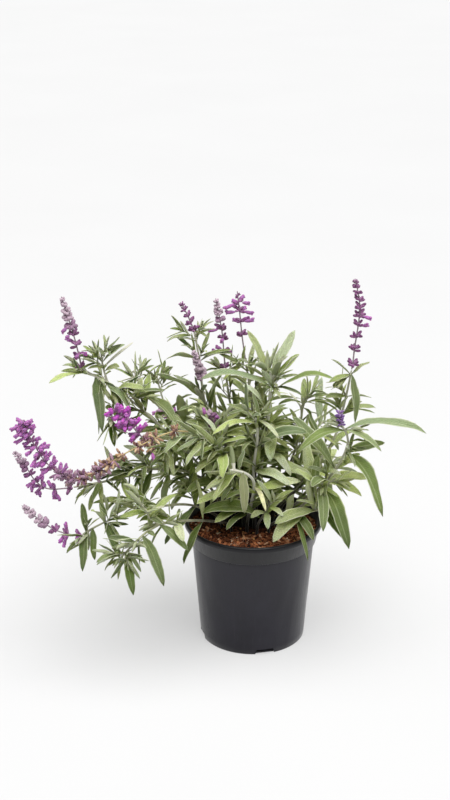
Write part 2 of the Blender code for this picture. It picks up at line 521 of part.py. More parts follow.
def potting_mix(finish):
    """A plug turned to the inside of the pot, with its top pushed into lumps and stem holes."""
    heights = (SOIL_FOOT_HEIGHT, COLLAR_FOOT_HEIGHT - 2 * FILLET, SOIL_EDGE_HEIGHT)
    flat = math.cos(math.pi / POT_SEGMENTS)
    section = [(0, SOIL_FOOT_HEIGHT)] + [(inner_radius(z) * flat - GAP, z) for z in heights]
    section += [(section[-1][0] * share, SOIL_TOP) for share in SOIL_RINGS]
    bm = turned(section, SOIL_SEGMENTS)
    for vert in bm.verts:
        if vert.co.z > SOIL_TOP - GAP:
            vert.co.z = soil_height(vert.co.x, vert.co.y)
    made = new_object("potting_mix", bm, finish)
    cutters = []
    for stem in STEMS:
        x, y = stem["foot"]
        ends = [Vector((x, y, SOIL_TOP - STEM_DEPTH - GAP)), Vector((x, y, SOIL_TOP + STEM_HOLE_TOP))]
        radius = STEM_RADIUS + GAP * math.sqrt(2)
        bm = bmesh.new()
        axis_body(bm, Axis(ends, radius, radius), [])
        cutters.append(new_object("hole", bm, finish))
    cut(made, cutters)
    made.data.shade_smooth()
    made.data.set_sharp_from_angle(angle=SOIL_CREASE)


def smooth_curve(route, before=None, after=None):
    """Points on a smooth curve through a route, heading from the point before to the one after."""
    knots = [Vector(point) for point in route]
    start = Vector(before) if before else 2 * knots[0] - knots[1]
    end = Vector(after) if after else 2 * knots[-1] - knots[-2]
    knots = [start] + knots + [end]
    curve = []
    for a, b, c, d in zip(knots, knots[1:], knots[2:], knots[3:]):
        count = max(1, round((c - b).length / CURVE_STEP))
        for k in range(count):
            t = k / count
            pull = (c - a) * t + (2 * a - 5 * b + 4 * c - d) * t**2
            curve.append(b + 0.5 * (pull + (3 * b - a - 3 * c + d) * t**3))
    curve.append(knots[-2])
    return curve


def across(direction):
    """A level vector square to a direction."""
    side = direction.cross(UP)
    if side.length < LEVEL_LEAST:
        side = direction.cross(Vector((0, 1, 0)))
    return side.normalized()


class Axis:
    """A centre line that carries a square section along it without twisting."""

    def __init__(self, points, start_radius, end_radius):
        self.points = points
        self.start_radius = start_radius
        self.end_radius = end_radius
        self.length = sum((b - a).length for a, b in zip(points, points[1:]))
        self.neck = 0.0
        self.sides = []
        side = across(points[1] - points[0])
        for k in range(len(points)):
            direction = self.direction(k)
            side = (side - direction * side.dot(direction)).normalized()
            self.sides.append(side)

    def direction(self, k):
        last = len(self.points) - 1
        return (self.points[min(k + 1, last)] - self.points[max(k - 1, 0)]).normalized()

    def at(self, share):
        """Centre, direction, side and radius at a share of the way along."""
        place = share * (len(self.points) - 1)
        k = min(len(self.points) - 2, int(place))
        centre = self.points[k].lerp(self.points[k + 1], place - k)
        direction = self.direction(k).lerp(self.direction(k + 1), place - k).normalized()
        side = self.sides[k].lerp(self.sides[k + 1], place - k)
        side = (side - direction * side.dot(direction)).normalized()
        return centre, direction, side, self.start_radius + (self.end_radius - self.start_radius) * share

    def normal(self, share, k):
        """Outward direction of one of the four faces."""
        centre, direction, side, radius = self.at(share)
        return Matrix.Rotation(math.pi * (k + 0.5) / 2, 3, direction) @ side

    def corners(self, share, shift=0.0):
        centre, direction, side, radius = self.at(share)
        top = direction.cross(side)
        return [centre + direction * shift + offset * radius for offset in (side, top, -side, -top)]

    def base(self, share, k):
        """The four corners of the patch that a leaf or a flower grows from."""
        low = self.corners(share, -JOINT_HALF)
        high = self.corners(share, JOINT_HALF)
        n = (k + 1) % 4
        return [low[k], low[n], high[n], high[k]]

    def bends(self, a, b):
        """Shares where a skin drawn straight between two shares would leave the centre line."""
        half = 0.5 * (a + b)
        error = self.at(half)[0] - 0.5 * (self.at(a)[0] + self.at(b)[0])
        if error.length < CHORD_ERROR or (b - a) * self.length < 2 * JOINT_REACH:
            return []
        return self.bends(a, half) + [half] + self.bends(half, b)

    def nearest(self, point):
        """Share of the way along that is nearest to a point."""
        last = len(self.points) - 1
        return min(range(last + 1), key=lambda k: (self.points[k] - point).length) / last


class Joint:
    """A place on an axis where up to four things grow, one from each face."""

    def __init__(self, share):
        self.share = share
        self.growth = [None] * 4


def free_face(axis, joints, share, heading):
    """The joint and face that suit a heading best near a share; a new joint if none does."""
    best = None
    for joint in joints:
        apart = abs(joint.share - share) * axis.length
        if apart > JOINT_NEAR:
            continue
        for k in range(4):
            fit = axis.normal(joint.share, k).dot(heading) - FIT_LOSS * apart / JOINT_REACH
            if joint.growth[k] is None and fit > FIT_LEAST and (best is None or fit > best[0]):
                best = (fit, joint, k)
    if best:
        return best[1], best[2]
    share = min(share, 1 - JOINT_END / axis.length)
    while any(abs(joint.share - share) * axis.length < JOINT_REACH for joint in joints):
        share -= JOINT_STEP / axis.length
    joint = Joint(share)
    joints.append(joint)
    return joint, max(range(4), key=lambda k: axis.normal(share, k).dot(heading))


def band(bm, near, far, k):
    n = (k + 1) % 4
    bm.faces.new((near[k], near[n], far[n], far[k]))


def fan(bm, ring, point):
    tip = bm.verts.new(point)
    for k in range(len(ring)):
        bm.faces.new((ring[k], ring[(k + 1) % len(ring)], tip))


def middle(corners):
    return sum(corners, Vector()) / len(corners)


def matched(base, corners):
    """The base's corners, turned to lie nearest to the corners of the ring that joins them."""
    turns = [base[k:] + base[:k] for k in range(4)]
    return min(turns, key=lambda turn: sum((a - b).length for a, b in zip(turn, corners)))


def ring(bm, corners):
    return [bm.verts.new(corner) for corner in corners]


def axis_body(bm, axis, joints, near=None, pointed=False):
    """A square stem. Returns the open corners of each face that something grows from."""
    fixed = sorted({axis.neck, 1.0} | {joint.share for joint in joints})
    bends = [share for a, b in zip(fixed, fixed[1:]) for share in axis.bends(a, b)]
    if axis.neck:
        bends.append(axis.neck)
    stations = [(share, 0.0, None, False) for share in bends]
    for joint in joints:
        stations.append((joint.share, -JOINT_HALF, joint, True))
        stations.append((joint.share, JOINT_HALF, joint, False))
    stations.append((1.0, 0.0, None, False))
    stations.sort(key=lambda station: station[0] * axis.length + station[1])
    if not near:
        near = ring(bm, axis.corners(0.0))
        bm.faces.new(near)
    sockets = []
    opened = None
    for share, shift, joint, opens in stations:
        far = ring(bm, axis.corners(share, shift))
        for k in range(4):
            if opened and opened.growth[k]:
                n = (k + 1) % 4
                sockets.append((opened.growth[k], [near[k], near[n], far[n], far[k]]))
            else:
                band(bm, near, far, k)
        opened = joint if opens else None
        near = far
    if pointed:
        fan(bm, near, axis.points[-1] + axis.direction(len(axis.points) - 1) * TIP_LENGTH * axis.end_radius)
    else:
        bm.faces.new(near)
    return sockets


class Leaf:
    """A leaf: a rib bent from its root to its tip, and a blade across it."""

    def __init__(self, base, bend, tip, roll, width=1.0):
        self.root, self.bend, self.tip = middle(base), bend, tip
        root = self.root
        outward = Vector((tip.x - root.x, tip.y - root.y, 0))
        if outward.length < UPRIGHT * (tip - root).length:
            outward = Vector((tip.x, tip.y - FRONTWARD, 0))
        self.side = outward.cross(UP).normalized()
        light = Vector((SIDEWARD * bend.x, bend.y - FRONTWARD, 0)).normalized()
        self.roll = roll + FACE_OUT * self.side.dot(light)
        self.length = (bend - root).length + (tip - bend).length
        self.half_width = width * LEAF_WIDTH * (self.length / LEAF_WIDTH_LENGTH)**LEAF_WIDTH_POWER / 2
        self.base = matched(base, self.corners(self.stations()[0]))

    def rib(self, s):
        return self.root * (1 - s)**2 + self.bend * 2 * s * (1 - s) + self.tip * s**2

    def frame(self, s):
        """Side and top directions of the blade at a share of its length."""
        direction = ((self.bend - self.root) * (1 - s) + (self.tip - self.bend) * s).normalized()
        side = (self.side - direction * self.side.dot(direction)).normalized()
        side = Matrix.Rotation(self.roll, 3, direction) @ side
        return side, side.cross(direction)

    def half_width_at(self, s):
        blade = max(0.0, (s - PETIOLE_SHARE) / BLADE_SHARE)
        shape = BLADE_SCALE * blade**BLADE_ROOT_POWER * (1 - blade)**BLADE_TIP_POWER
        return PETIOLE + self.half_width * shape

    def stations(self):
        if self.length < SHORT_LEAF:
            return SHORT_STATIONS
        return MIDDLE_STATIONS if self.length < LONG_LEAF else LONG_STATIONS

    def corners(self, s, spare=0.0):
        """Left edge, crease, right edge and underside of the rib."""
        side, top = self.frame(s)
        centre = self.rib(s)
        half = self.half_width_at(s)
        out = side * (half * math.cos(KEEL) + spare)
        lift = top * half * math.sin(KEEL)
        return [centre - out + lift, centre + top * spare, centre + out + lift,
                centre - top * (RIB_DEPTH + 2 * spare)]

    def clear_of_pot(self):
        """True if the whole blade stays above the potting mix and off the rim and the wall."""
        for step in range(2, RIM_STEPS + 1):
            side, top = self.frame(step / RIM_STEPS)
            half = self.half_width_at(step / RIM_STEPS)
            for out in (-half, 0, half):
                point = self.rib(step / RIM_STEPS) + side * out
                radius = math.hypot(point.x, point.y)
                if radius < RIM_RADIUS + RIM_CLEARANCE and point.z < POT_HEIGHT + RIM_CLEARANCE:
                    return False
        return True

    def body(self, bm, near, spare=0.0):
        """The bands of the blade, split into triangles alike on both faces, and its tip."""
        for s in self.stations():
            far = ring(bm, self.corners(s, spare))
            for k in range(4):
                n = (k + 1) % 4
                if k % 2 == 0:
                    corners = ((near[k], near[n], far[n]), (near[k], far[n], far[k]))
                else:
                    corners = ((near[k], near[n], far[k]), (near[n], far[n], far[k]))
                for triangle in corners:
                    bm.faces.new(triangle)
            near = far
        fan(bm, near, self.tip + (self.tip - self.bend).normalized() * spare)


class Calyx:
    """A woolly calyx, and the corolla that comes out of it where it is in flower."""

    def __init__(self, base, reach, length, radius, corolla=None):
        self.root, self.reach, self.length, self.radius = middle(base), reach, length, radius
        self.side = across(reach)
        self.top = self.side.cross(reach)
        self.corolla = corolla
        self.base = matched(base, self.corners(0.0))

    def around(self, centre, size):
        return [centre + turn * size for turn in (-self.side, self.top, self.side, -self.top)]

    def corners(self, spare):
        """The belly of the calyx."""
        return self.around(self.root + self.reach * self.length * CALYX_BELLY, self.radius + spare)

    def body(self, bm, near, spare=0.0):
        """The calyx, with its corolla's tube, hood and hanging lip if it is in flower."""
        tip = self.root + self.reach * self.length
        rings = [self.corners(spare)] if self.length > BUD_LENGTH else []
        if self.corolla:
            way = self.corolla - tip
            mouth = self.around(tip + way * MOUTH_PLACE, COROLLA_RADIUS + spare)
            mouth[1] = self.corolla + self.top * (COROLLA_RADIUS + spare)
            mouth[3] = self.corolla - self.top * COROLLA_RADIUS * LIP_RADIUS - way * LIP_BACK
            cheek = tip + way * CHEEK_PLACE + self.top * way.length * CHEEK_RISE
            rings += [self.around(tip, TUBE_RADIUS * COROLLA_RADIUS + spare),
                      self.around(cheek, CHEEK_RADIUS * COROLLA_RADIUS + spare), mouth]
            tip = tip + way * THROAT_PLACE + self.top * way.length * THROAT_RISE
        for corners in rings:
            far = ring(bm, corners)
            for k in range(4):
                band(bm, near, far, k)
            near = far
        fan(bm, near, tip)


def alone(thing, start, spare):
    """A leaf or a flower from just off its root outwards, to test against its neighbours."""
    bm = bmesh.new()
    first = thing.corners(spare) if isinstance(thing, Calyx) else thing.corners(thing.stations()[0], spare)
    share = start / (middle(first) - thing.root).length
    near = ring(bm, [corner.lerp(end, share) for corner, end in zip(thing.base, first)])
    bm.faces.new(near)
    thing.body(bm, near, spare)
    return bm


def whorl_shares(axis, whorls, first):
    """Shares along a spike where its whorls sit, closer together towards the tip."""
    first = max(first, SPIKE_FIRST_JOINT / axis.length)
    growth = 1 + WHORL_GROWTH / whorls
    span = growth**(whorls - WHORL_TOP) - 1
    return [1 - (1 - first) * (growth**(k + WHORL_FOOT) - 1) / span for k in range(whorls)]


def spike_joints(axis, plan, draw, neighbours):
    """The whorls of a spike: its open flowers first, then the calyces and the buds around them."""
    joints = [Joint(share) for share in whorl_shares(axis, plan["whorls"], plan.get("first", FIRST_WHORL))]
    for target in plan["corollas"]:
        flower = Vector(target)
        joint = min(joints, key=lambda each: (axis.at(each.share)[0] - flower).length)
        heading = (flower - axis.at(joint.share)[0]).normalized()
        spare = [k for k in range(4) if joint.growth[k] is None]
        k = max(spare, key=lambda face: axis.normal(joint.share, face).dot(heading))
        joint.growth[k] = settle(neighbours, flower_at(axis, joint.share, k, flower, draw))
    for number, joint in enumerate(joints):
        grown = min(1.0, YOUNGEST_SIZE + number * SIZE_STEP)
        for k in range(4):
            if joint.growth[k] is None:
                joint.growth[k] = settle(neighbours, calyx_at(axis, joint.share, k, grown, draw))
    return joints


class Shoot:
    """A leafy axis, or a spike, with what grows on it."""

    def __init__(self, node, axis, plan, joints=None):
        self.node, self.axis, self.plan = node, axis, plan
        self.joints = joints if joints is not None else []
        self.pointed = "spike" not in plan


def stem_axis(stem):
    """The centre line of a stem: straight up out of its hole, and then along its route."""
    x, y = stem["foot"]
    foot = Vector((x, y, SOIL_TOP - STEM_DEPTH))
    neck = Vector((x, y, SOIL_TOP + STEM_NECK))
    steps = round((neck - foot).length / CURVE_STEP)
    straight = [foot.lerp(neck, k / steps) for k in range(steps)]
    after = stem.get("spike", [None])[0]
    axis = Axis(straight + smooth_curve([neck] + stem["route"], foot, after), STEM_RADIUS, SHOOT_RADIUS)
    axis.neck = steps / (len(axis.points) - 1)
    return axis


def spike_axis(shoot):
    """The centre line of a spike, which follows straight on from the end of its shoot."""
    ahead = shoot.axis.direction(len(shoot.axis.points) - 1)
    end = shoot.axis.points[-1] + ahead * GAP
    start = end + ahead * AXIS_START
    route = [Vector(point) for point in shoot.plan["spike"]]
    far = [point for point in route if (point - end).length > AXIS_FREE]
    return Axis([end] + smooth_curve([start] + far, before=end), AXIS_RADIUS, AXIS_RADIUS * AXIS_TAPER)


def plan_shoots():
    """Every leafy axis and every spike, with the node that each belongs to, still bare."""
    leafy = []
    spikes = []
    for stem in STEMS:
        main = Shoot("leafy_stem_" + stem["name"], stem_axis(stem), stem)
        leafy.append(main)
        found = [(main, "spike_" + stem["name"])]
        for side_plan in stem.get("shoots", []):
            route = [Vector(point) for point in side_plan["route"]]
            share = main.axis.nearest(route[0])
            joint, k = free_face(main.axis, main.joints, share, (route[1] - route[0]).normalized())
            route[0] = middle(main.axis.base(joint.share, k))
            points = smooth_curve(route, after=side_plan.get("spike", [None])[0])
            side = Shoot(main.node, Axis(points, SHOOT_RADIUS, TIP_RADIUS), side_plan)
            joint.growth[k] = side
            leafy.append(side)
            found.append((side, "spike_" + stem["name"] + "_side"))
        for shoot, node in found:
            if "spike" in shoot.plan:
                plan = {key: shoot.plan[key] for key in shoot.plan if key in ("whorls", "first", "corollas")}
                spikes.append(Shoot(node, spike_axis(shoot), plan))
    return leafy, spikes


def shoot_body(bm, shoot, base=None):
    """An axis and everything that grows on it, as one skin."""
    for thing, patch in axis_body(bm, shoot.axis, shoot.joints, base, shoot.pointed):
        if isinstance(thing, Shoot):
            order = matched([vert.co for vert in patch], thing.axis.corners(0.0))
            shoot_body(bm, thing, [vert for co in order for vert in patch if vert.co == co])
        else:
            near = [vert for co in thing.base for vert in patch if (vert.co - co).length < SAME_POINT]
            thing.body(bm, near)


class Neighbours:
    """The bodies placed so far, so that a new leaf can be bent clear of them."""

    def __init__(self):
        self.axes = []
        self.things = []

    def entry(self, bm):
        bm.verts.index_update()
        verts = [vert.co.copy() for vert in bm.verts]
        faces = [[vert.index for vert in face.verts] for face in bm.faces]
        bm.free()
        low = [min(vert[axis] for vert in verts) for axis in range(3)]
        high = [max(vert[axis] for vert in verts) for axis in range(3)]
        return low, high, BVHTree.FromPolygons(verts, faces)

    def touched_by(self, bm, items):
        low, high, tree = self.entry(bm)
        for other_low, other_high, other in items:
            apart = any(low[a] > other_high[a] or high[a] < other_low[a] for a in range(3))
            if not apart and tree.overlap(other):
                return True
        return False

    def clear(self, thing):
        """True if a leaf or a flower is clear by the gap, and at its root too of its siblings."""
        if self.touched_by(alone(thing, ROOT_LENGTH, GAP), self.axes + self.things):
            return False
        return not self.touched_by(alone(thing, SEAT_LENGTH, 0.0), self.things)


def settle(neighbours, make):
    """The first leaf or flower offered that is clear of everything placed so far, or None."""
    for attempt in range(TRIES):
        thing = make(attempt)
        if (isinstance(thing, Calyx) or thing.clear_of_pot()) and neighbours.clear(thing):
            neighbours.things.append(neighbours.entry(alone(thing, SEAT_LENGTH, 0.0)))
            return thing
    return None


def flower_at(axis, share, k, flower, draw):
    """A calyx in flower; each further attempt lets the corolla's tip stray a little more."""
    base = axis.base(share, k)

    def make(attempt):
        stray = COROLLA_STRAY * attempt
        moved = flower + Vector([draw.uniform(-stray, stray) for axis in range(3)])
        reach = axis.normal(share, k) + (moved - middle(base)).normalized() * COROLLA_PULL
        return Calyx(base, reach.normalized(), CALYX_LENGTH * COROLLA_CALYX, CALYX_RADIUS, moved)

    return make


def calyx_at(axis, share, k, grown, draw):
    """A calyx without a corolla, or a bud."""
    base = axis.base(share, k)
    normal = axis.normal(share, k)
    direction = axis.at(share)[1]

    def make(attempt):
        rise = draw.uniform(CALYX_RISE[0], CALYX_RISE[1] + CALYX_RISE_STEP * attempt)
        reach = (normal + direction * rise).normalized()
        size = grown * (1 - SHRINK * attempt)
        return Calyx(base, reach, CALYX_LENGTH * size, CALYX_RADIUS * size)

    return make


def chosen_leaf(base, tip, arch, width, draw):
    """A leaf to a given tip; each further attempt lets the tip stray a little more."""
    root = middle(base)
    roll = draw.uniform(-CHOSEN_ROLL, CHOSEN_ROLL)

    def make(attempt):
        stray = CHOSEN_STRAY * attempt
        moved = Vector(tip) + Vector([draw.uniform(-stray, stray) for axis in range(3)])
        lift = UP * arch * (moved - root).length * draw.uniform(*CHOSEN_ARCH)
        return Leaf(base, root.lerp(moved, 0.5) + lift, moved, roll, width)

    return make


def pair_leaf(axis, share, k, length, draw):
    """A leaf of a pair: it leaves its face at an angle, and droops along its length."""
    base = axis.base(share, k)
    normal = axis.normal(share, k)
    direction = axis.at(share)[1]
    roll = draw.uniform(-PAIR_ROLL, PAIR_ROLL)

    def make(attempt):
        stray = PAIR_STRAY * attempt
        turn = Matrix.Rotation(draw.uniform(-stray, stray), 3, direction)
        first = (turn @ normal + direction * draw.uniform(*PAIR_RISE)).normalized()
        size = length * draw.uniform(*PAIR_LENGTH) * (1 - SHRINK * attempt)
        second = (first - UP * draw.uniform(*PAIR_DROOP)).normalized()
        bend = middle(base) + first * size * 0.5
        return Leaf(base, bend, bend + second * size * 0.5, roll)

    return make


def grow(leafy, spikes):
    """Give each spike its flowers and each stem its leaves, those with a chosen tip first."""
    neighbours = Neighbours()
    for shoot in leafy + spikes:
        radii = (shoot.axis.start_radius + CHORD_ERROR, shoot.axis.end_radius + CHORD_ERROR)
        axis = Axis(shoot.axis.points, *radii)
        bm = bmesh.new()
        axis_body(bm, axis, [])
        neighbours.axes.append(neighbours.entry(bm))
    for spike in spikes:
        spike.joints = spike_joints(spike.axis, spike.plan, random.Random(spike.node), neighbours)
    for shoot in leafy:
        draw = random.Random(shoot.node + "_chosen")
        for share, tip, arch, *width in shoot.plan["leaves"]:
            reach = Vector(tip) - shoot.axis.at(share)[0]
            heading = (0.5 * reach + UP * arch * reach.length).normalized()
            joint, k = free_face(shoot.axis, shoot.joints, share, heading)
            base = shoot.axis.base(joint.share, k)
            joint.growth[k] = settle(neighbours, chosen_leaf(base, tip, arch, *(width or [1.0]), draw))
    for shoot in leafy:
        draw = random.Random(shoot.node + "_pairs")
        first, last, count, length = shoot.plan.get("pairs") or (0, 0, 0, 0)
        for number in range(count):
            share = first + (last - first) * number / max(1, count - 1)
            for half in range(2):
                normal = shoot.axis.normal(share, (number + 2 * half) % 4)
                joint, k = free_face(shoot.axis, shoot.joints, share, normal)
                leaf = pair_leaf(shoot.axis, joint.share, k, length, draw)
                joint.growth[k] = settle(neighbours, leaf)


def plant(leaf_finish, flower_finish):
    leafy, spikes = plan_shoots()
    grow(leafy, spikes)
    mains = [shoot for shoot in leafy if "foot" in shoot.plan]
    for shoot, finish in [(s, leaf_finish) for s in mains] + [(s, flower_finish) for s in spikes]:
        bm = bmesh.new()
        shoot_body(bm, shoot)
        new_object(shoot.node, bm, finish)


clear_scene()
pot(material("black_plastic", *POT_BLACK))
potting_mix(material("coir", *COIR_BROWN))
plant(material("sage_leaf", *LEAF_SAGE), material("woolly_purple", *CALYX_PURPLE))
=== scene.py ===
# Potted Mexican bush sage: the finished look of the pot, the potting mix, the leafy stems and
# the flower spikes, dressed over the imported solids, in metres, +Z up.
import math
import random

import bmesh
import bpy
import numpy
from mathutils import Matrix, Vector, noise
from mathutils.bvhtree import BVHTree


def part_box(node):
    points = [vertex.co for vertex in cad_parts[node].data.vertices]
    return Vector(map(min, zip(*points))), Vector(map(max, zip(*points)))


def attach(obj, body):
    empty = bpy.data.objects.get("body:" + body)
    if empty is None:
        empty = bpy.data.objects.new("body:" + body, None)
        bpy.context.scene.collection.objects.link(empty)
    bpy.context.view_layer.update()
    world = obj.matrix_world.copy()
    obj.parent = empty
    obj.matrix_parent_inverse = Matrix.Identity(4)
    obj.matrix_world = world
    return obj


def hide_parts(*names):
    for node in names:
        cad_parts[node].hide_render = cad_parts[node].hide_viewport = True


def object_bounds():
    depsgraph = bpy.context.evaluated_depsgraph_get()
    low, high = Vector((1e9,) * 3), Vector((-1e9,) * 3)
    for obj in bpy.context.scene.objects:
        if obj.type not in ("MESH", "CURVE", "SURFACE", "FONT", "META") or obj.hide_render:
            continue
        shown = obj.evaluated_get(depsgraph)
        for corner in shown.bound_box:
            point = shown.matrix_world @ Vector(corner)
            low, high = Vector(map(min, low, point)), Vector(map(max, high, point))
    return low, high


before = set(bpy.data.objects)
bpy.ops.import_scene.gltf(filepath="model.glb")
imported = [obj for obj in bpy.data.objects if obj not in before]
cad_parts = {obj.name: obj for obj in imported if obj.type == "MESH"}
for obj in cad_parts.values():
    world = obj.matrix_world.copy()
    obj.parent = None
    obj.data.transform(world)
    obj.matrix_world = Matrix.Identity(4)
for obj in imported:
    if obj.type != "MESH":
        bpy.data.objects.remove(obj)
cad_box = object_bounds()


# Nursery pot: one injection-moulded shell of black polypropylene, with a tapered wall, a
# stepped collar, a rolled lip and four drain notches cut through the foot of the wall. It is
# satin, with faint vertical scuffs and a few shallow dents from handling.
POT_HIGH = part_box("pot")[1]
RIM_RADIUS = POT_HIGH.x
POT_HEIGHT = POT_HIGH.z
BASE_RADIUS = 0.767 * RIM_RADIUS
WALL_TOP_RADIUS = 0.888 * RIM_RADIUS
COLLAR_FOOT_RADIUS = 0.918 * RIM_RADIUS
COLLAR_TOP_RADIUS = 0.968 * RIM_RADIUS
COLLAR_FOOT_HEIGHT = 0.835 * POT_HEIGHT
LIP_DEPTH = 0.006
POT_WALL = 0.0016
POT_FLOOR = 0.0022
POT_EDGE = 0.0009
POT_SEGMENTS = 144
WALL_RINGS = 16
FOOT_WIDTH = 0.02
DENT_DEPTH, DENT_START = 0.0007, 0.1
DENTS_ROUND, DENTS_UP = 2.2, 14
NOTCH_SIZE = (0.009, 0.027, 0.013)
NOTCH_TAPER = 0.8
NOTCH_TURNS = [math.radians(-77 + 90 * k) for k in range(4)]
SHARP_ANGLE = math.radians(48)


def spun(profile, segments):
    """A half section, from axis to axis, turned into a closed skin."""
    bm = bmesh.new()
    verts = [bm.verts.new((radius, 0, height)) for radius, height in profile]
    edges = [bm.edges.new(pair) for pair in zip(verts, verts[1:])]
    bmesh.ops.spin(bm, geom=verts + edges, cent=(0, 0, 0), axis=(0, 0, 1),
                   angle=2 * math.pi, steps=segments, use_merge=True)
    bmesh.ops.remove_doubles(bm, verts=bm.verts, dist=0.00001)
    return bm


def new_piece(name, bm, *finishes):
    """An object at the origin from a bmesh, smooth shaded, with its materials."""
    bmesh.ops.recalc_face_normals(bm, faces=bm.faces)
    mesh = bpy.data.meshes.new(name)
    bm.to_mesh(mesh)
    bm.free()
    for finish in finishes:
        mesh.materials.append(finish)
    mesh.shade_smooth()
    piece = bpy.data.objects.new(name, mesh)
    bpy.context.scene.collection.objects.link(piece)
    return piece


def shown_mesh(piece):
    """The mesh that a piece has with its modifiers."""
    return bpy.data.meshes.new_from_object(piece.evaluated_get(bpy.context.evaluated_depsgraph_get()))


class Finish:
    """A material on one Principled shader, with short calls for the nodes that feed it."""

    def __init__(self, name, **sockets):
        self.material = bpy.data.materials.new(name)
        self.material.use_nodes = True
        self.tree = self.material.node_tree
        self.shader = self.tree.nodes["Principled BSDF"]
        for socket, value in sockets.items():
            self.shader.inputs[socket.replace("_", " ")].default_value = value

    def node(self, kind, inputs, **settings):
        """A node with its settings, and with a value or another node's output for each input."""
        made = self.tree.nodes.new("ShaderNode" + kind)
        for key, value in settings.items():
            setattr(made, key, value)
        for socket, value in inputs.items():
            self.feed(made.inputs[socket], value)
        return made

    def feed(self, socket, value):
        if isinstance(value, bpy.types.NodeSocket):
            self.tree.links.new(value, socket)
        else:
            socket.default_value = value

    def spot(self):
        """Object coordinates."""
        return self.node("TexCoord", {}).outputs["Object"]

    def stretched(self, scale=(1, 1, 1)):
        """Object coordinates, each times its scale."""
        return self.node("Mapping", {"Vector": self.spot(), "Scale": scale}).outputs["Vector"]

    def noise(self, scale, detail, stretch=(1, 1, 1)):
        inputs = {"Vector": self.stretched(stretch), "Scale": scale, "Detail": detail, "Roughness": 0.55}
        return self.node("TexNoise", inputs).outputs["Fac"]

    def cell_edges(self, scale):
        """Distance to the border of small irregular cells."""
        inputs = {"Vector": self.stretched(), "Scale": scale}
        return self.node("TexVoronoi", inputs, feature="DISTANCE_TO_EDGE").outputs["Distance"]

    def reach(self):
        """Distance from the upright axis."""
        return self.node("VectorMath", {0: self.stretched((1, 1, 0))}, operation="LENGTH").outputs["Value"]

    def height(self):
        """Height above the floor."""
        return self.node("SeparateXYZ", {"Vector": self.spot()}).outputs["Z"]

    def attribute(self, name):
        """A value that the mesh carries, such as how far along its leaf a spot is."""
        return self.node("Attribute", {}, attribute_name=name).outputs["Fac"]

    def ramp(self, value, *stops):
        """A colour ramp from (position, colour) stops; a single number stands for a grey."""
        made = self.node("ValToRGB", {"Fac": value})
        row = made.color_ramp.elements
        while len(row) < len(stops):
            row.new(1.0)
        for element, (position, colour) in zip(row, stops):
            element.position = position
            element.color = (*colour, 1) if isinstance(colour, tuple) else (colour,) * 3 + (1,)
        return made.outputs["Color"]

    def span(self, value, low, high, to_low=0.0, to_high=1.0):
        """A value, with its run from low to high carried over to another."""
        inputs = dict(enumerate((value, low, high, to_low, to_high)))
        return self.node("MapRange", inputs).outputs["Result"]

    def maths(self, operation, a, b=0.0):
        return self.node("Math", {0: a, 1: b}, operation=operation).outputs["Value"]

    def mix(self, share, a, b, blend="MIX"):
        a, b = [(*value, 1) if isinstance(value, tuple) else value for value in (a, b)]
        return self.node("Mix", {0: share, 6: a, 7: b}, data_type="RGBA", blend_type=blend).outputs[2]

    def tinted(self, base, *tints):
        """A colour with tints over it, each a share, a colour and maybe a way to blend."""
        for share, tint, *blend in tints:
            base = self.mix(share, base, tint, *blend)
        return base

    def colour(self, value):
        self.feed(self.shader.inputs["Base Color"], value)

    def rough(self, value):
        self.feed(self.shader.inputs["Roughness"], value)

    def bump(self, height, distance, strength=1.0):
        """A bump over the ones that were added before it."""
        normal = self.shader.inputs["Normal"]
        inputs = {"Height": height, "Distance": distance, "Strength": strength}
        if normal.is_linked:
            inputs["Normal"] = normal.links[0].from_socket
        self.feed(normal, self.node("Bump", inputs).outputs["Normal"])


lip_foot = POT_HEIGHT - LIP_DEPTH
wall_rings = [(BASE_RADIUS + (WALL_TOP_RADIUS - BASE_RADIUS) * k / WALL_RINGS,
               POT_EDGE + (COLLAR_FOOT_HEIGHT - 2 * POT_EDGE) * k / WALL_RINGS)
              for k in range(WALL_RINGS + 1)]
pot_outside = [(0, 0), (BASE_RADIUS - FOOT_WIDTH, 0), (BASE_RADIUS - POT_EDGE, 0)] + wall_rings + [
    (COLLAR_FOOT_RADIUS - POT_EDGE, COLLAR_FOOT_HEIGHT), (COLLAR_FOOT_RADIUS, COLLAR_FOOT_HEIGHT + POT_EDGE),
    (COLLAR_TOP_RADIUS - POT_EDGE / 2, lip_foot - POT_EDGE), (COLLAR_TOP_RADIUS + POT_EDGE / 2, lip_foot),
    (RIM_RADIUS - POT_EDGE / 2, lip_foot), (RIM_RADIUS, lip_foot + POT_EDGE),
    (RIM_RADIUS, POT_HEIGHT - POT_EDGE), (RIM_RADIUS - POT_EDGE, POT_HEIGHT),
]
pot_inside = [(r - POT_WALL, max(z, POT_FLOOR)) for r, z in wall_rings] + [
    (COLLAR_FOOT_RADIUS - POT_WALL, COLLAR_FOOT_HEIGHT + POT_EDGE),
    (COLLAR_TOP_RADIUS - POT_WALL, POT_HEIGHT - POT_EDGE),
    (COLLAR_TOP_RADIUS - POT_WALL + POT_EDGE, POT_HEIGHT),
]
pot_bm = spun(pot_outside + pot_inside[::-1] + [(0, POT_FLOOR)], POT_SEGMENTS)
for vert in pot_bm.verts:
    if POT_EDGE < vert.co.z < COLLAR_FOOT_HEIGHT - POT_EDGE:
        outward = Vector((vert.co.x, vert.co.y, 0)).normalized()
        dent = noise.noise(Vector((outward.x * DENTS_ROUND, outward.y * DENTS_ROUND, vert.co.z * DENTS_UP)))
        vert.co -= outward * DENT_DEPTH * max(0, dent - DENT_START) * 2
notch_bm = bmesh.new()
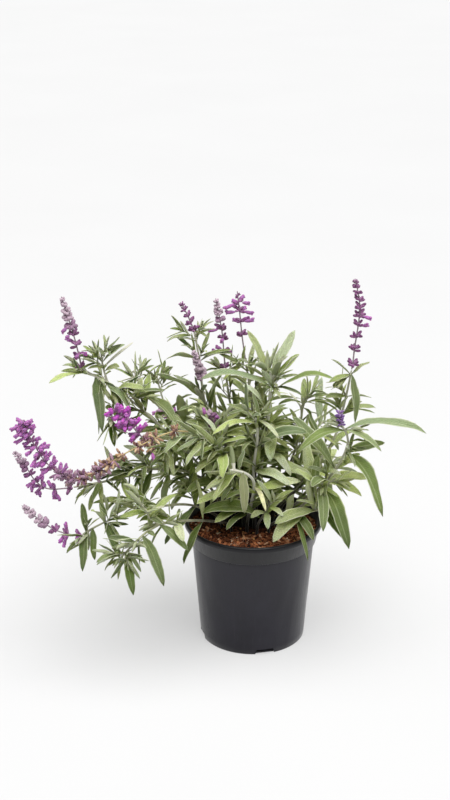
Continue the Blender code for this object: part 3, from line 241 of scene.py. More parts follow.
for turn in NOTCH_TURNS:
    made = bmesh.ops.create_cube(notch_bm, size=1)["verts"]
    for vert in made:
        if vert.co.z > 0:
            vert.co.y *= NOTCH_TAPER
    bmesh.ops.scale(notch_bm, vec=NOTCH_SIZE, verts=made)
    bmesh.ops.translate(notch_bm, vec=(BASE_RADIUS, 0, 0), verts=made)
    bmesh.ops.rotate(notch_bm, cent=(0, 0, 0), matrix=Matrix.Rotation(turn, 3, "Z"), verts=made)

plastic = Finish("black_nursery_plastic", Roughness=0.3, Specular_IOR_Level=0.30,
                 Sheen_Weight=0.22, Sheen_Roughness=0.35)
scuffs = plastic.noise(26, 5, (9, 9, 0.55))
grain = plastic.noise(1500, 2)
clouds = plastic.noise(22, 3)
# Painted shade: the collar band is darkened, so that its reflection of the floor does not make it look
# lighter than the wall.
collar_painted_shade = plastic.span(plastic.height(), COLLAR_FOOT_HEIGHT, COLLAR_FOOT_HEIGHT + POT_EDGE, 0, 0.9)
plastic.colour(plastic.tinted(
    plastic.ramp(clouds, (0.3, (0.005, 0.0045, 0.009)), (0.75, (0.013, 0.012, 0.02))),
    (plastic.span(scuffs, 0.55, 0.8, 0, 0.3), (0.032, 0.031, 0.04)),
    # Painted light: the wall's colour is lighter towards the top, as if lit from above.
    (plastic.span(plastic.height(), 0.03, 0.12, 0, 0.35), (0.036, 0.035, 0.042)),
    (collar_painted_shade, (0.002, 0.002, 0.003))))
plastic.rough(plastic.maths("ADD", plastic.span(scuffs, 0.3, 0.75, 0.24, 0.38),
                            plastic.span(clouds, 0.3, 0.7, 0.0, 0.10)))
plastic.bump(grain, 0.00004)
plastic.bump(scuffs, 0.00025, 0.5)

pot = new_piece("pot_shell", pot_bm, plastic.material)
cutter = new_piece("notches", notch_bm)
cut = pot.modifiers.new("drain_notches", "BOOLEAN")
cut.operation = "DIFFERENCE"
cut.solver = "EXACT"
cut.object = cutter
pot.data = shown_mesh(pot)
pot.modifiers.clear()
bpy.data.objects.remove(cutter, do_unlink=True)
pot.data.set_sharp_from_angle(angle=SHARP_ANGLE)
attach(pot, "root")
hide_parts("pot")


# Potting mix: chopped coconut coir with bark and a few grains of slow feed. It fills the pot
# to just under the lip, dry and loose on top, with the stems standing out of it.
UP = Vector((0, 0, 1))
MIX_LOW, MIX_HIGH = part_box("potting_mix")
MIX_EDGE_HEIGHT = 0.1465
MIX_RADIUS = COLLAR_TOP_RADIUS - POT_WALL - 0.0012
MIX_CROWN = 0.003
MIX_LUMP = 0.0022
MIX_CRUMB = 0.0016
MIX_SETTLED = 0.0006
MIX_RINGS, MIX_SEGMENTS = 34, 120
# The hidden sides follow the inside of the pot, just clear of it.
MIX_SIDES = [
    (0, MIX_LOW.z), (0.8 * BASE_RADIUS, MIX_LOW.z), (BASE_RADIUS - 0.0025, MIX_LOW.z),
    (WALL_TOP_RADIUS - 0.003, COLLAR_FOOT_HEIGHT - 0.004), (MIX_RADIUS - 0.0004, MIX_EDGE_HEIGHT - 0.006),
]
CHIPS, CHIP_REACH = 1300, 0.965
CHIP_LENGTH = (0.0018, 0.0105)
CHIP_ROUGHNESS = 0.12
FIBRES, FIBRE_REACH, FIBRE_LIMIT = 300, 0.93, 0.97
FIBRE_RADIUS = 0.00021
FIBRE_STEP = (0.0018, 0.0042)
FIBRE_LIFT = (0.0004, 0.0014)
GRAINS, GRAIN_REACH = 34, 0.92
GRAIN_RADIUS = 0.0011
SHADE_CENTRE = 0.05
SHADE_RADIUS = (0.060, 0.084)


def mix_height(x, y):
    """Top of the potting mix: the low crown and lumps of its solid, and crumbs on them."""
    crown = MIX_CROWN * math.cos(0.5 * math.pi * min(1, math.hypot(x, y) / MIX_RADIUS))
    lump = MIX_LUMP * noise.noise(Vector((x, y, 0.01)) * 90)
    crumb = MIX_CRUMB * (noise.turbulence(Vector((x, y, 0.2)) * 260, 3, False) - 0.7)
    return MIX_EDGE_HEIGHT + crown + lump + crumb - MIX_SETTLED


def clamp(value):
    return max(0.0, min(1.0, value))


def mix_light(x, y):
    """How well lit a place on the mix is: hardly among the stems, fully along the front edge."""
    low, high = SHADE_RADIUS
    return clamp((math.hypot(x, y - SHADE_CENTRE) - low) / (high - low))


# The rings of the top are spun a metre above the mix, so that they can be told from the sides,
# and are then let down onto it.
mix_top = [(MIX_RADIUS * (1 - k / MIX_RINGS), MIX_HIGH.z + 1) for k in range(MIX_RINGS + 1)]
mix_bm = spun(MIX_SIDES + mix_top, MIX_SEGMENTS)
light = mix_bm.verts.layers.float.new("light")
for vert in mix_bm.verts:
    vert[light] = mix_light(vert.co.x, vert.co.y)
    if vert.co.z > MIX_HIGH.z + 0.5:
        vert.co.z = mix_height(vert.co.x, vert.co.y)

coir = Finish("coconut_coir", Roughness=0.95, Specular_IOR_Level=0.2)
coir_lumps = coir.noise(420, 5)
coir_threads = coir.noise(900, 3, (1, 0.3, 1))
coir_brown = coir.ramp(coir_lumps, (0.36, (0.008, 0.003, 0.002)), (0.52, (0.12, 0.034, 0.014)),
                       (0.66, (0.40, 0.14, 0.055)), (0.80, (0.62, 0.33, 0.17)))
coir.colour(coir.mix(coir.attribute("light"), (0.004, 0.002, 0.001), coir_brown))
coir.bump(coir_lumps, 0.0006)
coir.bump(coir_threads, 0.0003)
mix = new_piece("potting_mix_bed", mix_bm, coir.material)
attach(mix, "root")
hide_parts("potting_mix")

chip_finish = Finish("coir_chip", Roughness=0.9, Specular_IOR_Level=0.25)
chip_grain = chip_finish.noise(1100, 4, (1, 0.35, 1))
chip_base = chip_finish.ramp(chip_finish.attribute("tone"), (0.0, (0.006, 0.002, 0.001)),
                             (0.25, (0.12, 0.034, 0.016)), (0.7, (0.58, 0.21, 0.085)),
                             (0.88, (0.78, 0.42, 0.23)), (1.0, (0.97, 0.80, 0.60)))
chip_finish.colour(chip_finish.mix(0.55, chip_base, chip_finish.ramp(
    chip_grain, (0.3, 0.35), (0.7, 1.0)), "MULTIPLY"))
chip_finish.bump(chip_grain, 0.0003)

draw = random.Random("coir chips")
chip_bm = bmesh.new()
tone = chip_bm.verts.layers.float.new("tone")


def jitter(draw, reach):
    """A random way to go, up to a reach along each axis."""
    return Vector([draw.uniform(-reach, reach) for axis in range(3)])


def spot_on_mix(draw, reach):
    """A random place on the potting mix, within a share of its radius."""
    radius = MIX_RADIUS * reach * math.sqrt(draw.random())
    turn = draw.uniform(0, 2 * math.pi)
    x, y = radius * math.cos(turn), radius * math.sin(turn)
    return Vector((x, y, mix_height(x, y)))


for number in range(CHIPS):
    length = draw.uniform(*CHIP_LENGTH) * draw.uniform(0.5, 1)
    spot = spot_on_mix(draw, CHIP_REACH)
    turn = Matrix.Rotation(draw.uniform(0, 6.3), 4, "Z") @ Matrix.Rotation(draw.uniform(-0.5, 0.5), 4, "Y")
    stretch = Matrix.Diagonal((length, length * draw.uniform(0.2, 0.6), length * draw.uniform(0.15, 0.4), 1))
    made = bmesh.ops.create_icosphere(chip_bm, subdivisions=1, radius=0.5,
                                      matrix=Matrix.Translation(spot + UP * length * 0.1) @ turn @ stretch)
    shade = draw.random() * mix_light(spot.x, spot.y)
    for vert in made["verts"]:
        vert.co += jitter(draw, CHIP_ROUGHNESS) * length
        vert[tone] = shade
chips = new_piece("coir_chips", chip_bm, chip_finish.material)
chips.data.shade_flat()
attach(chips, "root")


def put(target, source, finish):
    """Add a bmesh to a piece's bmesh, with the number of its material."""
    for face in source.faces:
        face.material_index = finish
    mesh = bpy.data.meshes.new("part")
    source.to_mesh(mesh)
    source.free()
    target.from_mesh(mesh)
    bpy.data.meshes.remove(mesh)


def strand(points, radius, sides, values):
    """A thin closed tube through some points: a long prism, cut across and bent to them."""
    bm = bmesh.new()
    layers = [(bm.verts.layers.float.new(name), value) for name, value in values.items()]
    bmesh.ops.create_cone(bm, cap_ends=True, segments=sides, radius1=radius, radius2=radius, depth=1)
    long = [edge for edge in bm.edges if abs(edge.verts[0].co.z - edge.verts[1].co.z) > 0.5]
    bmesh.ops.subdivide_edges(bm, edges=long, cuts=len(points) - 2)
    for vert in bm.verts:
        place = (vert.co.z + 0.5) * (len(points) - 1)
        k = min(len(points) - 2, int(place + 0.001))
        way = (points[k + 1] - points[k]).normalized()
        side = way.orthogonal().normalized()
        centre = points[k].lerp(points[k + 1], place - k)
        vert.co = centre + side * vert.co.x + side.cross(way) * vert.co.y
        for layer, value in layers:
            vert[layer] = value
    return bm


fibre_bm = bmesh.new()
fibre_bm.verts.layers.float.new("tone")
for number in range(FIBRES):
    points = [spot_on_mix(draw, FIBRE_REACH) + UP * FIBRE_LIFT[0]]
    heading = draw.uniform(0, 2 * math.pi)
    step = draw.uniform(*FIBRE_STEP)
    bend = draw.uniform(-0.5, 0.5)
    for k in range(draw.randint(3, 5)):
        heading += bend
        ahead = points[-1] + Vector((math.cos(heading), math.sin(heading), 0)) * step
        reach = min(1, MIX_RADIUS * FIBRE_LIMIT / max(1e-6, math.hypot(ahead.x, ahead.y)))
        x, y = ahead.x * reach, ahead.y * reach
        points.append(Vector((x, y, mix_height(x, y) + draw.uniform(*FIBRE_LIFT))))
    shade = draw.uniform(0.45, 1) * mix_light(points[0].x, points[0].y)
    put(fibre_bm, strand(points, FIBRE_RADIUS, 3, {"tone": shade}), 0)
fibres = new_piece("coir_fibres", fibre_bm, chip_finish.material)
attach(fibres, "root")

feed_finish = Finish("slow_feed_grain", Roughness=0.45)
feed_finish.colour(feed_finish.ramp(feed_finish.noise(900, 2), (0.3, (0.42, 0.20, 0.05)),
                                    (0.7, (0.75, 0.48, 0.16))))
grain_bm = bmesh.new()
for number in range(GRAINS):
    spot = spot_on_mix(draw, GRAIN_REACH) + UP * GRAIN_RADIUS * 0.7
    bmesh.ops.create_icosphere(grain_bm, subdivisions=2, radius=GRAIN_RADIUS * draw.uniform(0.7, 1.1),
                               matrix=Matrix.Translation(spot))
grains = new_piece("feed_grains", grain_bm, feed_finish.material)
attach(grains, "root")


# Leafy stems: square woolly stems with pairs of narrow grey-green leaves. Each leaf and each
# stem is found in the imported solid, where a leaf is one to three rings of four corners between
# the patch on the stem that it grows from and its tip, and a finer one takes its place.
KEEL = math.radians(24)
FLATNESS = 1.6
PETIOLE = 0.0009
PETIOLE_SHARE, BLADE_SHARE = 0.07, 0.93
BEYOND_PETIOLE = 0.13
LEAF_STATIONS = {1: (0.45,), 2: (0.28, 0.66), 3: (0.15, 0.42, 0.76)}
LEAF_ROWS, LEAF_COLUMNS = 12, 4
LEAF_THICKNESS = 0.00036
LEAF_SINK = 0.0010
RIPPLE, TWIST, CURL = (0.08, 0.26), 0.22, (0.35, 0.8)
EDGE_NOTCH, EDGE_NOTCHES = 0.035, 46
STEM_FATTEN = 0.00045
PATCH_HEIGHT = 0.0024
LEAF_FULL = 1.16
# The half width of an added leaf is its length to the power of the first of these, times the
# second on a side shoot or the third.
WIDTH_GROWTH, YOUNG_WIDTH, FURTHER_WIDTH = 0.8, 0.037, 0.048
# How many side shoots each leaf of a stem may have in its axil, and how likely each of them is.
SIDE_SHOOTS = (1, 1.0)
SIDE_GROWTH = {"front_left": (2, 0.8), "second_cluster": (2, 1.0), "small_spike": (2, 1.0),
               "left_mid": (2, 0.8), "arching": (2, 1.0), "centre_tall": (2, 0.8), "nodding": (1, 0.3),
               "right_tall": (1, 0.6), "right_front": (1, 0.55), "right_low": (1, 0.6), "mid_right": (1, 0.7)}
SIDE_TRIES, SIDE_STRAY, SIDE_SHRINK = 5, 0.25, 0.08
SIDE_LEAF = (0.016, 0.042)
SIDE_ROWS, SIDE_COLUMNS = 6, 2
SIDE_FULL = 0.4
SIDE_GAP = 0.0007
SHORTEST_WITH_SHOOT = 0.02
SHOOT_RADIUS = 0.0007
AXIL_RISE, AXIL_SINK = 0.0016, 0.0004
# The leaf pairs of a shoot: how far up it, how widely spread and how large.
SHOOT_PAIRS = ((0.5, 1.1, 1), (0.95, 0.75, 0.85), (1.0, 0.25, 0.5))
# Side leaves are largest within a radius of the heart of the plant, and shrink beyond it.
HEART = Vector((-0.03, 0.0, 0.26))
HEART_RADIUS, HEART_FADE = 0.10, 0.20
RIM_CLEARANCE = 0.002
BOX_MARGIN = 0.004
# The front of the mix shows under the plant: side growth keeps above a plane that rises from
# the back of the mix to the front, as far as these sides.
BARE_SIDES = (-0.083, 0.060)
BARE_BACK = 0.05
BARE_FOOT = 0.15
BARE_SLOPE = 0.46
# Stems that are white with wool: how white, and how much thicker than the rest.
WHITE_STEMS = {"centre_tall": (1.0, 0.0011), "nodding": (0.9, 0.0004), "centre_front": (0.7, 0.0004)}
# Old leaves, by where their tips are, with how dry they are, and a curled leaf by its tip.
OLD_LEAVES = [
    (Vector((-0.022, -0.096, 0.184)), 0.55), (Vector((-0.012, -0.096, 0.206)), 0.30),
    (Vector((0.013, -0.094, 0.208)), 1.0), (Vector((-0.040, -0.092, 0.214)), 0.25),
]
CURLED_LEAF = Vector((0.072, -0.100, 0.152))
CURLED = 0.4
DRY_CURL = 0.45
NEAR_TIP = 0.012
# Leaves that hang far down, or are very long, are the older ones, of a darker green.
HANGING, HANGING_TONE = 0.03, 0.15
LONG, LONG_TONE = 0.085, 0.25
# The top leaf of these stems is a plain blade of the solid, above this height.
PLAIN_BLADE = {"leafy_stem_nodding": 0.2615, "leafy_stem_centre_tall": 0.3460}
# Broad leaves that the solids leave out: the stem, where on it, where the tip is, the arch and
# the width.
FURTHER_LEAVES = [
    ("left_back", (-0.130, 0.050, 0.300), (-0.094, -0.002, 0.283), 0.14, 1.5),
    ("left_back", (-0.118, 0.050, 0.283), (-0.104, -0.004, 0.270), 0.10, 1.3),
    ("left_back", (-0.110, 0.050, 0.278), (-0.088, 0.010, 0.300), 0.20, 1.0),
    ("upper_left", (-0.172, -0.010, 0.334), (-0.146, -0.034, 0.311), 0.15, 1.3),
    ("upper_left", (-0.125, 0.000, 0.290), (-0.150, -0.030, 0.330), 0.15, 1.1),
    ("left_mid", (-0.140, -0.022, 0.226), (-0.169, -0.045, 0.243), 0.15, 1.5),
    ("left_mid", (-0.145, -0.022, 0.226), (-0.181, -0.060, 0.233), 0.15, 1.4),
    ("left_mid", (-0.185, -0.029, 0.217), (-0.190, -0.055, 0.204), 0.15, 1.2),
    ("left_mid", (-0.185, -0.029, 0.217), (-0.214, -0.018, 0.223), 0.10, 1.2),
]
FURTHER_TONE = 0.3
FURTHER_TRIES, FURTHER_STRAY = 20, 0.002
# How far, and which ways above and in front, the leaves that shade a spot are looked for.
SHADE_REACH = 0.09
SHADE_START = 0.003
SHADE_WAYS = [Vector((math.cos(turn), math.sin(turn), rise)).normalized()
              for rise, turns in ((0.5, (-150, -110, -70, -30)), (1.4, (-140, -90, -40, 90)), (6.0, (0,)))
              for turn in map(math.radians, turns)]


def solid_mesh(node):
    """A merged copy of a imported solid's skin."""
    bm = bmesh.new()
    bm.from_mesh(bpy.data.objects[node].data)
    bmesh.ops.remove_doubles(bm, verts=bm.verts, dist=0.00002)
    return bm


def middle(points):
    return sum(points, Vector()) / len(points)


def tips(bm):
    """The corners where four edges meet, as they do at the tip of a leaf or a calyx."""
    return [vert for vert in bm.verts if len(vert.link_edges) == 4]


def walk(tip):
    """Rings of four corners from a tip down to the patch that its body grows from."""
    known = {tip}
    rings = []
    near = {edge.other_vert(tip) for edge in tip.link_edges}
    while len(near) == 4:
        rings.append(sorted(near, key=lambda vert: vert.index))
        known |= near
        near = {edge.other_vert(vert) for vert in near for edge in vert.link_edges} - known
    return rings


def in_order(patch):
    """The four corners of a patch, one after the other round it."""
    row = [patch[0]]
    while len(row) < 4:
        beside = [edge.other_vert(row[-1]) for edge in row[-1].link_edges]
        row.append(next(vert for vert in beside if vert in patch and vert not in row))
    return row


def blade_corners(ring):
    """Edge, edge, crease and underside of a ring; None if it isn't flat as a leaf is."""
    pairs = [(a, b) for k, a in enumerate(ring) for b in ring[k + 1:]]
    left, right = max(pairs, key=lambda pair: (pair[0].co - pair[1].co).length)
    crease, under = [vert for vert in ring if vert not in (left, right)]
    if (crease.co - under.co).length * FLATNESS > (left.co - right.co).length:
        return None
    centre = (left.co + right.co) / 2
    if (crease.co - centre).length > (under.co - centre).length:
        crease, under = under, crease
    return left.co.copy(), right.co.copy(), crease.co.copy(), under.co.copy()


def drop(bm, tip, rings):
    """Take a body off the patch that it grows from, and close the patch."""
    row = in_order(rings[-1])
    bmesh.ops.delete(bm, geom=[tip] + [vert for ring in rings[:-1] for vert in ring], context="VERTS")
    bm.faces.new(row)


def past_petiole(s):
    """The share of the blade's length at a share of the leaf's."""
    return (s - PETIOLE_SHARE) / BLADE_SHARE


def widest(blade):
    """Share of the full half width at a share of the blade's length."""
    return 2.57 * blade**0.62 * (1 - blade)**0.75


def up_stem(patch, way):
    """Direction of the stem at a patch, towards its end: the way of its sides of a set length."""
    row = [vert.co for vert in in_order(patch)]
    sides = [row[(k + 1) % 4] - row[k] for k in range(4)]
    along = min(sides, key=lambda side: abs(side.length - PATCH_HEIGHT)).normalized()
    return along if along.dot(way) > 0 else -along


class LeafForm:
    """The rib, the lie and the half width of a leaf."""

    def __init__(self, root, bend, tip, side=None, half_width=0.0):
        self.root, self.bend, self.tip = root, bend, tip
        self.side, self.half_width = side, half_width
        self.length = (bend - root).length + (tip - bend).length

    def way(self, s):
        return ((self.bend - self.root) * (1 - s) + (self.tip - self.bend) * s).normalized()

    def rib(self, s):
        return self.root * (1 - s)**2 + self.bend * 2 * s * (1 - s) + self.tip * s**2


def solid_leaf(patch, rings, tip):
    """The form of a leaf of a solid, and the way its stem goes there."""
    root = middle([vert.co for vert in patch])
    k = 1 if len(rings) == 3 else len(rings) - 1
    s = LEAF_STATIONS[len(rings)][k]
    left, right, crease, under = rings[k]
    form = LeafForm(root, (crease - root * (1 - s)**2 - tip * s**2) / (2 * s * (1 - s)), tip)
    form.side = (right - left).normalized()
    if form.side.cross(form.way(s)).dot(crease - under) < 0:
        form.side = -form.side
    half = (right - left).length / 2 / math.cos(KEEL)
    form.half_width = LEAF_FULL * (half - PETIOLE) / widest(past_petiole(s))
    form.stem = up_stem(patch, form.way(0))
    return form


def young_leaf(root, way, side, length, droop):
    """The form of a leaf of a side shoot."""
    bend = root + way * length * 0.5
    tip = bend + (way - UP * droop).normalized() * length * 0.5
    return LeafForm(root, bend, tip, side, length**WIDTH_GROWTH * YOUNG_WIDTH)


def further_leaf(foot, tip, arch, width):
    """The form of a leaf to a chosen tip."""
    form = LeafForm(foot, foot.lerp(tip, 0.5) + UP * arch * (tip - foot).length, tip)
    form.half_width = form.length**WIDTH_GROWTH * FURTHER_WIDTH * width
    form.side = (tip - foot).cross(UP).normalized()
    return form


def take_leaves(bm):
    """The leaf forms of a leafy solid, which leaves its bare stems in the bmesh."""
    forms = []
    for tip in tips(bm):
        if not tip.is_valid:
            continue
        rings = walk(tip)
        if not 2 <= len(rings) <= 4:
            continue
        blades = [blade_corners(ring) for ring in rings[:-1]]
        if None in blades:
            continue
        forms.append(solid_leaf(rings[-1], blades[::-1], tip.co.copy()))
        drop(bm, tip, rings)
    return forms


def smoothed(bm, levels, fatten):
    """A bmesh of the same skin, fattened a little and rounded by subdivision."""
    bmesh.ops.join_triangles(bm, faces=bm.faces, angle_face_threshold=0.6, angle_shape_threshold=3.1)
    bm.normal_update()
    for vert in bm.verts:
        vert.co += vert.normal * fatten
    piece = new_piece("rounding", bm)
    step = piece.modifiers.new("rounding", "SUBSURF")
    step.levels = levels
    step.render_levels = levels
    rounded = shown_mesh(piece)
    bpy.data.objects.remove(piece, do_unlink=True)
    made = bmesh.new()
    made.from_mesh(rounded)
    return made


# What each corner of a leaf carries: its place on the blade, and what its colour depends on.
LAYERS = ("along", "across", "tone", "age", "under", "shaded")


def leaf_bmesh():
    """An empty bmesh for leaves."""
    bm = bmesh.new()
    bm.loops.layers.uv.new("UVMap")
    for name in LAYERS:
        bm.verts.layers.float.new(name)
    return bm


def leaf_blade(form, draw, rows, columns, age=0.0, darkest=1.0):
    """One leaf: a grid laid along its rib, arched between a sunk rib and rolled edges."""
    bm = leaf_bmesh()
    along, across, tone, aged = [bm.verts.layers.float[name] for name in LAYERS[:4]]
    bmesh.ops.create_grid(bm, x_segments=columns, y_segments=rows, size=1, calc_uvs=True)
    waves = [draw.uniform(0, 6.3) for k in range(3)]
    ripple = draw.uniform(*RIPPLE)
    twist = draw.uniform(-TWIST, TWIST)
    curl = draw.uniform(*CURL)
    shade = draw.random() * darkest
    for vert in bm.verts:
        u, s = vert.co.x, ((vert.co.y + 1) / 2)**0.92
        way = form.way(s)
        side = (form.side - way * form.side.dot(way)).normalized()
        side = Matrix.Rotation(twist * (s - 0.4), 3, way) @ side
        top = side.cross(way)
        blade = max(0.0, past_petiole(s))
        half = PETIOLE * (1 - 0.75 * s) + form.half_width * 2.3 * blade**0.58 * (1 - blade)**0.62
        half *= 1 + EDGE_NOTCH * math.sin(s * EDGE_NOTCHES + waves[2]) * abs(u)
        rise = math.sin(KEEL) * (1.35 * abs(u) - curl * abs(u)**3)
        wave = ripple * u * math.sin(9 * s + waves[0] + (2.1 if u > 0 else 0)) * abs(u)
        sway = 0.10 * math.sin(5 * s + waves[1]) * (1 - s) * s * 4
        vert.co = form.rib(s) + side * half * (u * math.cos(KEEL) + sway) + top * half * (rise + wave)
        if s == 0:
            vert.co -= form.way(0) * LEAF_SINK
        vert[along], vert[across], vert[tone], vert[aged] = s, u, shade, age
    return bm


def thickened(bm):
    """Give the blades their thickness; the new side is the underside."""
    under = bm.verts.layers.float["under"]
    before = set(bm.verts)
    bm.normal_update()
    bmesh.ops.solidify(bm, geom=bm.faces[:], thickness=LEAF_THICKNESS)
    for vert in bm.verts:
        if vert not in before:
            vert[under] = 1.0


class Space:
    """What is already there, so that a further leaf is only put where there is room."""

    def __init__(self):
        self.low = numpy.zeros((0, 3))
        self.high = numpy.zeros((0, 3))
        self.trees = []

    def outline(self, bm):
        """Corners, and a search tree, of a blade from beyond its petiole, or of a whole skin."""
        along = bm.verts.layers.float.get("along")
        bm.verts.index_update()
        corners = [vert.co.copy() for vert in bm.verts]
        faces = [[vert.index for vert in face.verts] for face in bm.faces
                 if not along or min(vert[along] for vert in face.verts) > BEYOND_PETIOLE]
        spots = numpy.array(corners)
        return spots.min(0), spots.max(0), BVHTree.FromPolygons(corners, faces, epsilon=SIDE_GAP)

    def add(self, low, high, tree):
        self.low = numpy.vstack((self.low, low))
        self.high = numpy.vstack((self.high, high))
        self.trees.append(tree)

    def free(self, low, high, tree):
        near = numpy.all((self.low < high) & (self.high > low), axis=1)
        return not any(tree.overlap(self.trees[k]) for k in numpy.nonzero(near)[0])


def off_the_pot(bm):
    """True if a blade is clear of the pot, of the view of the mix, and of the model's box."""
    low, high = cad_box
    for x, y, z in [vert.co for vert in bm.verts]:
        sight = BARE_FOOT + BARE_SLOPE * (BARE_BACK - y)
        if BARE_SIDES[0] < x < BARE_SIDES[1] and y < BARE_BACK and z < sight:
            return False
        if math.hypot(x, y) < RIM_RADIUS + RIM_CLEARANCE and z < POT_HEIGHT + RIM_CLEARANCE:
            return False
        if any(not low[k] - BOX_MARGIN < (x, y, z)[k] < high[k] + BOX_MARGIN for k in range(3)):
            return False
    return True


leaf = Finish("sage_leaf", Roughness=0.72, Specular_IOR_Level=0.05, Sheen_Weight=0.09,
              Sheen_Roughness=0.4, Subsurface_Weight=0.08, Subsurface_Scale=0.003)
leaf.shader.inputs["Sheen Tint"].default_value = (0.92, 0.96, 0.60, 1)
leaf.shader.inputs["Subsurface Radius"].default_value = (0.5, 1.0, 0.15)
leaf_wrinkle = leaf.cell_edges(640)
leaf_fuzz = leaf.noise(2600, 2)
leaf_patch = leaf.noise(70, 3)
across = leaf.maths("ABSOLUTE", leaf.attribute("across"))
vein_place = leaf.maths("SUBTRACT", leaf.maths("MULTIPLY", leaf.attribute("along"), 140),
                        leaf.maths("MULTIPLY", across, 22))
leaf_veins = leaf.maths("SINE", leaf.maths("ADD", vein_place, leaf.maths("MULTIPLY", leaf.noise(260, 2), 5)))
leaf_shaded = leaf.attribute("shaded")
leaf_hue = leaf.maths("SINE", leaf.maths("MULTIPLY", leaf.attribute("tone"), 70))
# Painted light: a few leaves are yellow-green near their root, as light shining through them.
leaf_painted_backlight = leaf.maths("MULTIPLY", leaf.span(leaf.attribute("tone"), 0.90, 0.94), leaf.span(
    leaf.attribute("along"), 0.75, 0.2))
leaf_outward = leaf.maths("ADD", leaf.height(), leaf.maths("MULTIPLY", leaf.reach(), 0.7))
leaf_green = leaf.tinted(
    leaf.ramp(leaf.attribute("tone"), (0.0, (0.105, 0.13, 0.062)), (0.2, (0.225, 0.262, 0.132)),
              (0.5, (0.48, 0.525, 0.265)), (0.8, (0.69, 0.73, 0.45)), (1.0, (0.82, 0.84, 0.62))),
    (leaf.span(leaf_patch, 0.35, 0.7, 0, 0.25), (0.36, 0.42, 0.21)),
    (leaf.span(leaf_hue, 0.2, 1.0, 0, 0.8), (0.9, 1.0, 0.62), "MULTIPLY"),
    (leaf.span(leaf_hue, -0.2, -1.0, 0, 0.8), (1.04, 1.1, 1.4), "MULTIPLY"),
    # Painted shade: the sunk veins and the creases between the wrinkles are darker green.
    (leaf.span(leaf_veins, 0.2, 1.0, 0, 0.55), (0.08, 0.115, 0.026)),
    (leaf.span(leaf_wrinkle, 0.14, 0.0, 0, 0.6), (0.08, 0.115, 0.026)),
    (leaf.span(across, 0.12, 0.02, 0, 0.26), (0.62, 0.66, 0.42)),
    (leaf.span(across, 0.80, 1.0, 0, 0.8), (0.7, 0.73, 0.54)),
    (leaf.maths("MULTIPLY", leaf.attribute("under"), 0.8), (0.52, 0.56, 0.37)),
    (leaf.maths("MULTIPLY", leaf_painted_backlight, 0.6), (0.32, 0.44, 0.08)),
    (leaf.span(leaf_shaded, 0.1, 0.7), (1.0, 1.02, 0.66), "MULTIPLY"),
    (leaf.span(leaf_shaded, 0.55, 1.0, 0, 0.72), (0.052, 0.084, 0.003)),
    # Painted shade: leaves low down are darker, and those low and near the middle, over the mix, go nearly
    # black.
    (leaf.span(leaf.height(), 0.20, 0.12, 0, 0.45), (0.03, 0.045, 0.018)),
    (leaf.span(leaf_outward, 0.225, 0.17, 0, 0.8), (0.01, 0.016, 0.002)))
leaf_age = leaf.attribute("age")
leaf_dry = leaf.mix(leaf.span(leaf.noise(160, 3), 0.4, 0.6, 0, 0.4), leaf.ramp(
    leaf_age, (0.4, (0.34, 0.32, 0.22)), (1.0, (0.70, 0.70, 0.40))), (0.24, 0.20, 0.12))
leaf.colour(leaf.mix(leaf.span(leaf_age, 0.0, 0.6), leaf_green, leaf_dry))
leaf.bump(leaf_veins, 0.00022, 0.8)
leaf.bump(leaf_wrinkle, 0.0008, 0.7)
leaf.bump(leaf_fuzz, 0.00015, 0.5)

woolly = Finish("woolly_stem", Roughness=0.85, Specular_IOR_Level=0.2, Sheen_Weight=0.4,
                Sheen_Roughness=0.5)
stem_streak = woolly.noise(300, 3, (1, 1, 0.15))
stem_outward = woolly.maths("ADD", woolly.height(), woolly.maths("MULTIPLY", woolly.reach(), 0.7))
stem_white = woolly.maths("MULTIPLY", woolly.attribute("white"), woolly.span(woolly.height(), 0.17, 0.23))
stem_streaks = woolly.maths("MULTIPLY", woolly.span(stem_streak, 0.4, 0.75, 0, 0.35),
                            woolly.span(stem_outward, 0.18, 0.24))
# The stems go from near-black low in the middle of the plant to pale grey-green out at the ends. This is
# partly their own colour, woody below and woolly above, and partly painted shade deep among the leaves.
woolly.colour(woolly.tinted(
    woolly.ramp(woolly.span(stem_outward, 0.15, 0.42), (0.0, (0.007, 0.005, 0.003)),
                (0.12, (0.015, 0.012, 0.007)), (0.25, (0.085, 0.075, 0.04)), (0.5, (0.28, 0.29, 0.16)),
                (1.0, (0.56, 0.55, 0.43))),
    (stem_white, (0.6, 0.59, 0.5)),
    (stem_streaks, (0.52, 0.52, 0.42))))
woolly.bump(stem_streak, 0.0003)
woolly.bump(woolly.noise(2600, 2), 0.0002, 0.6)


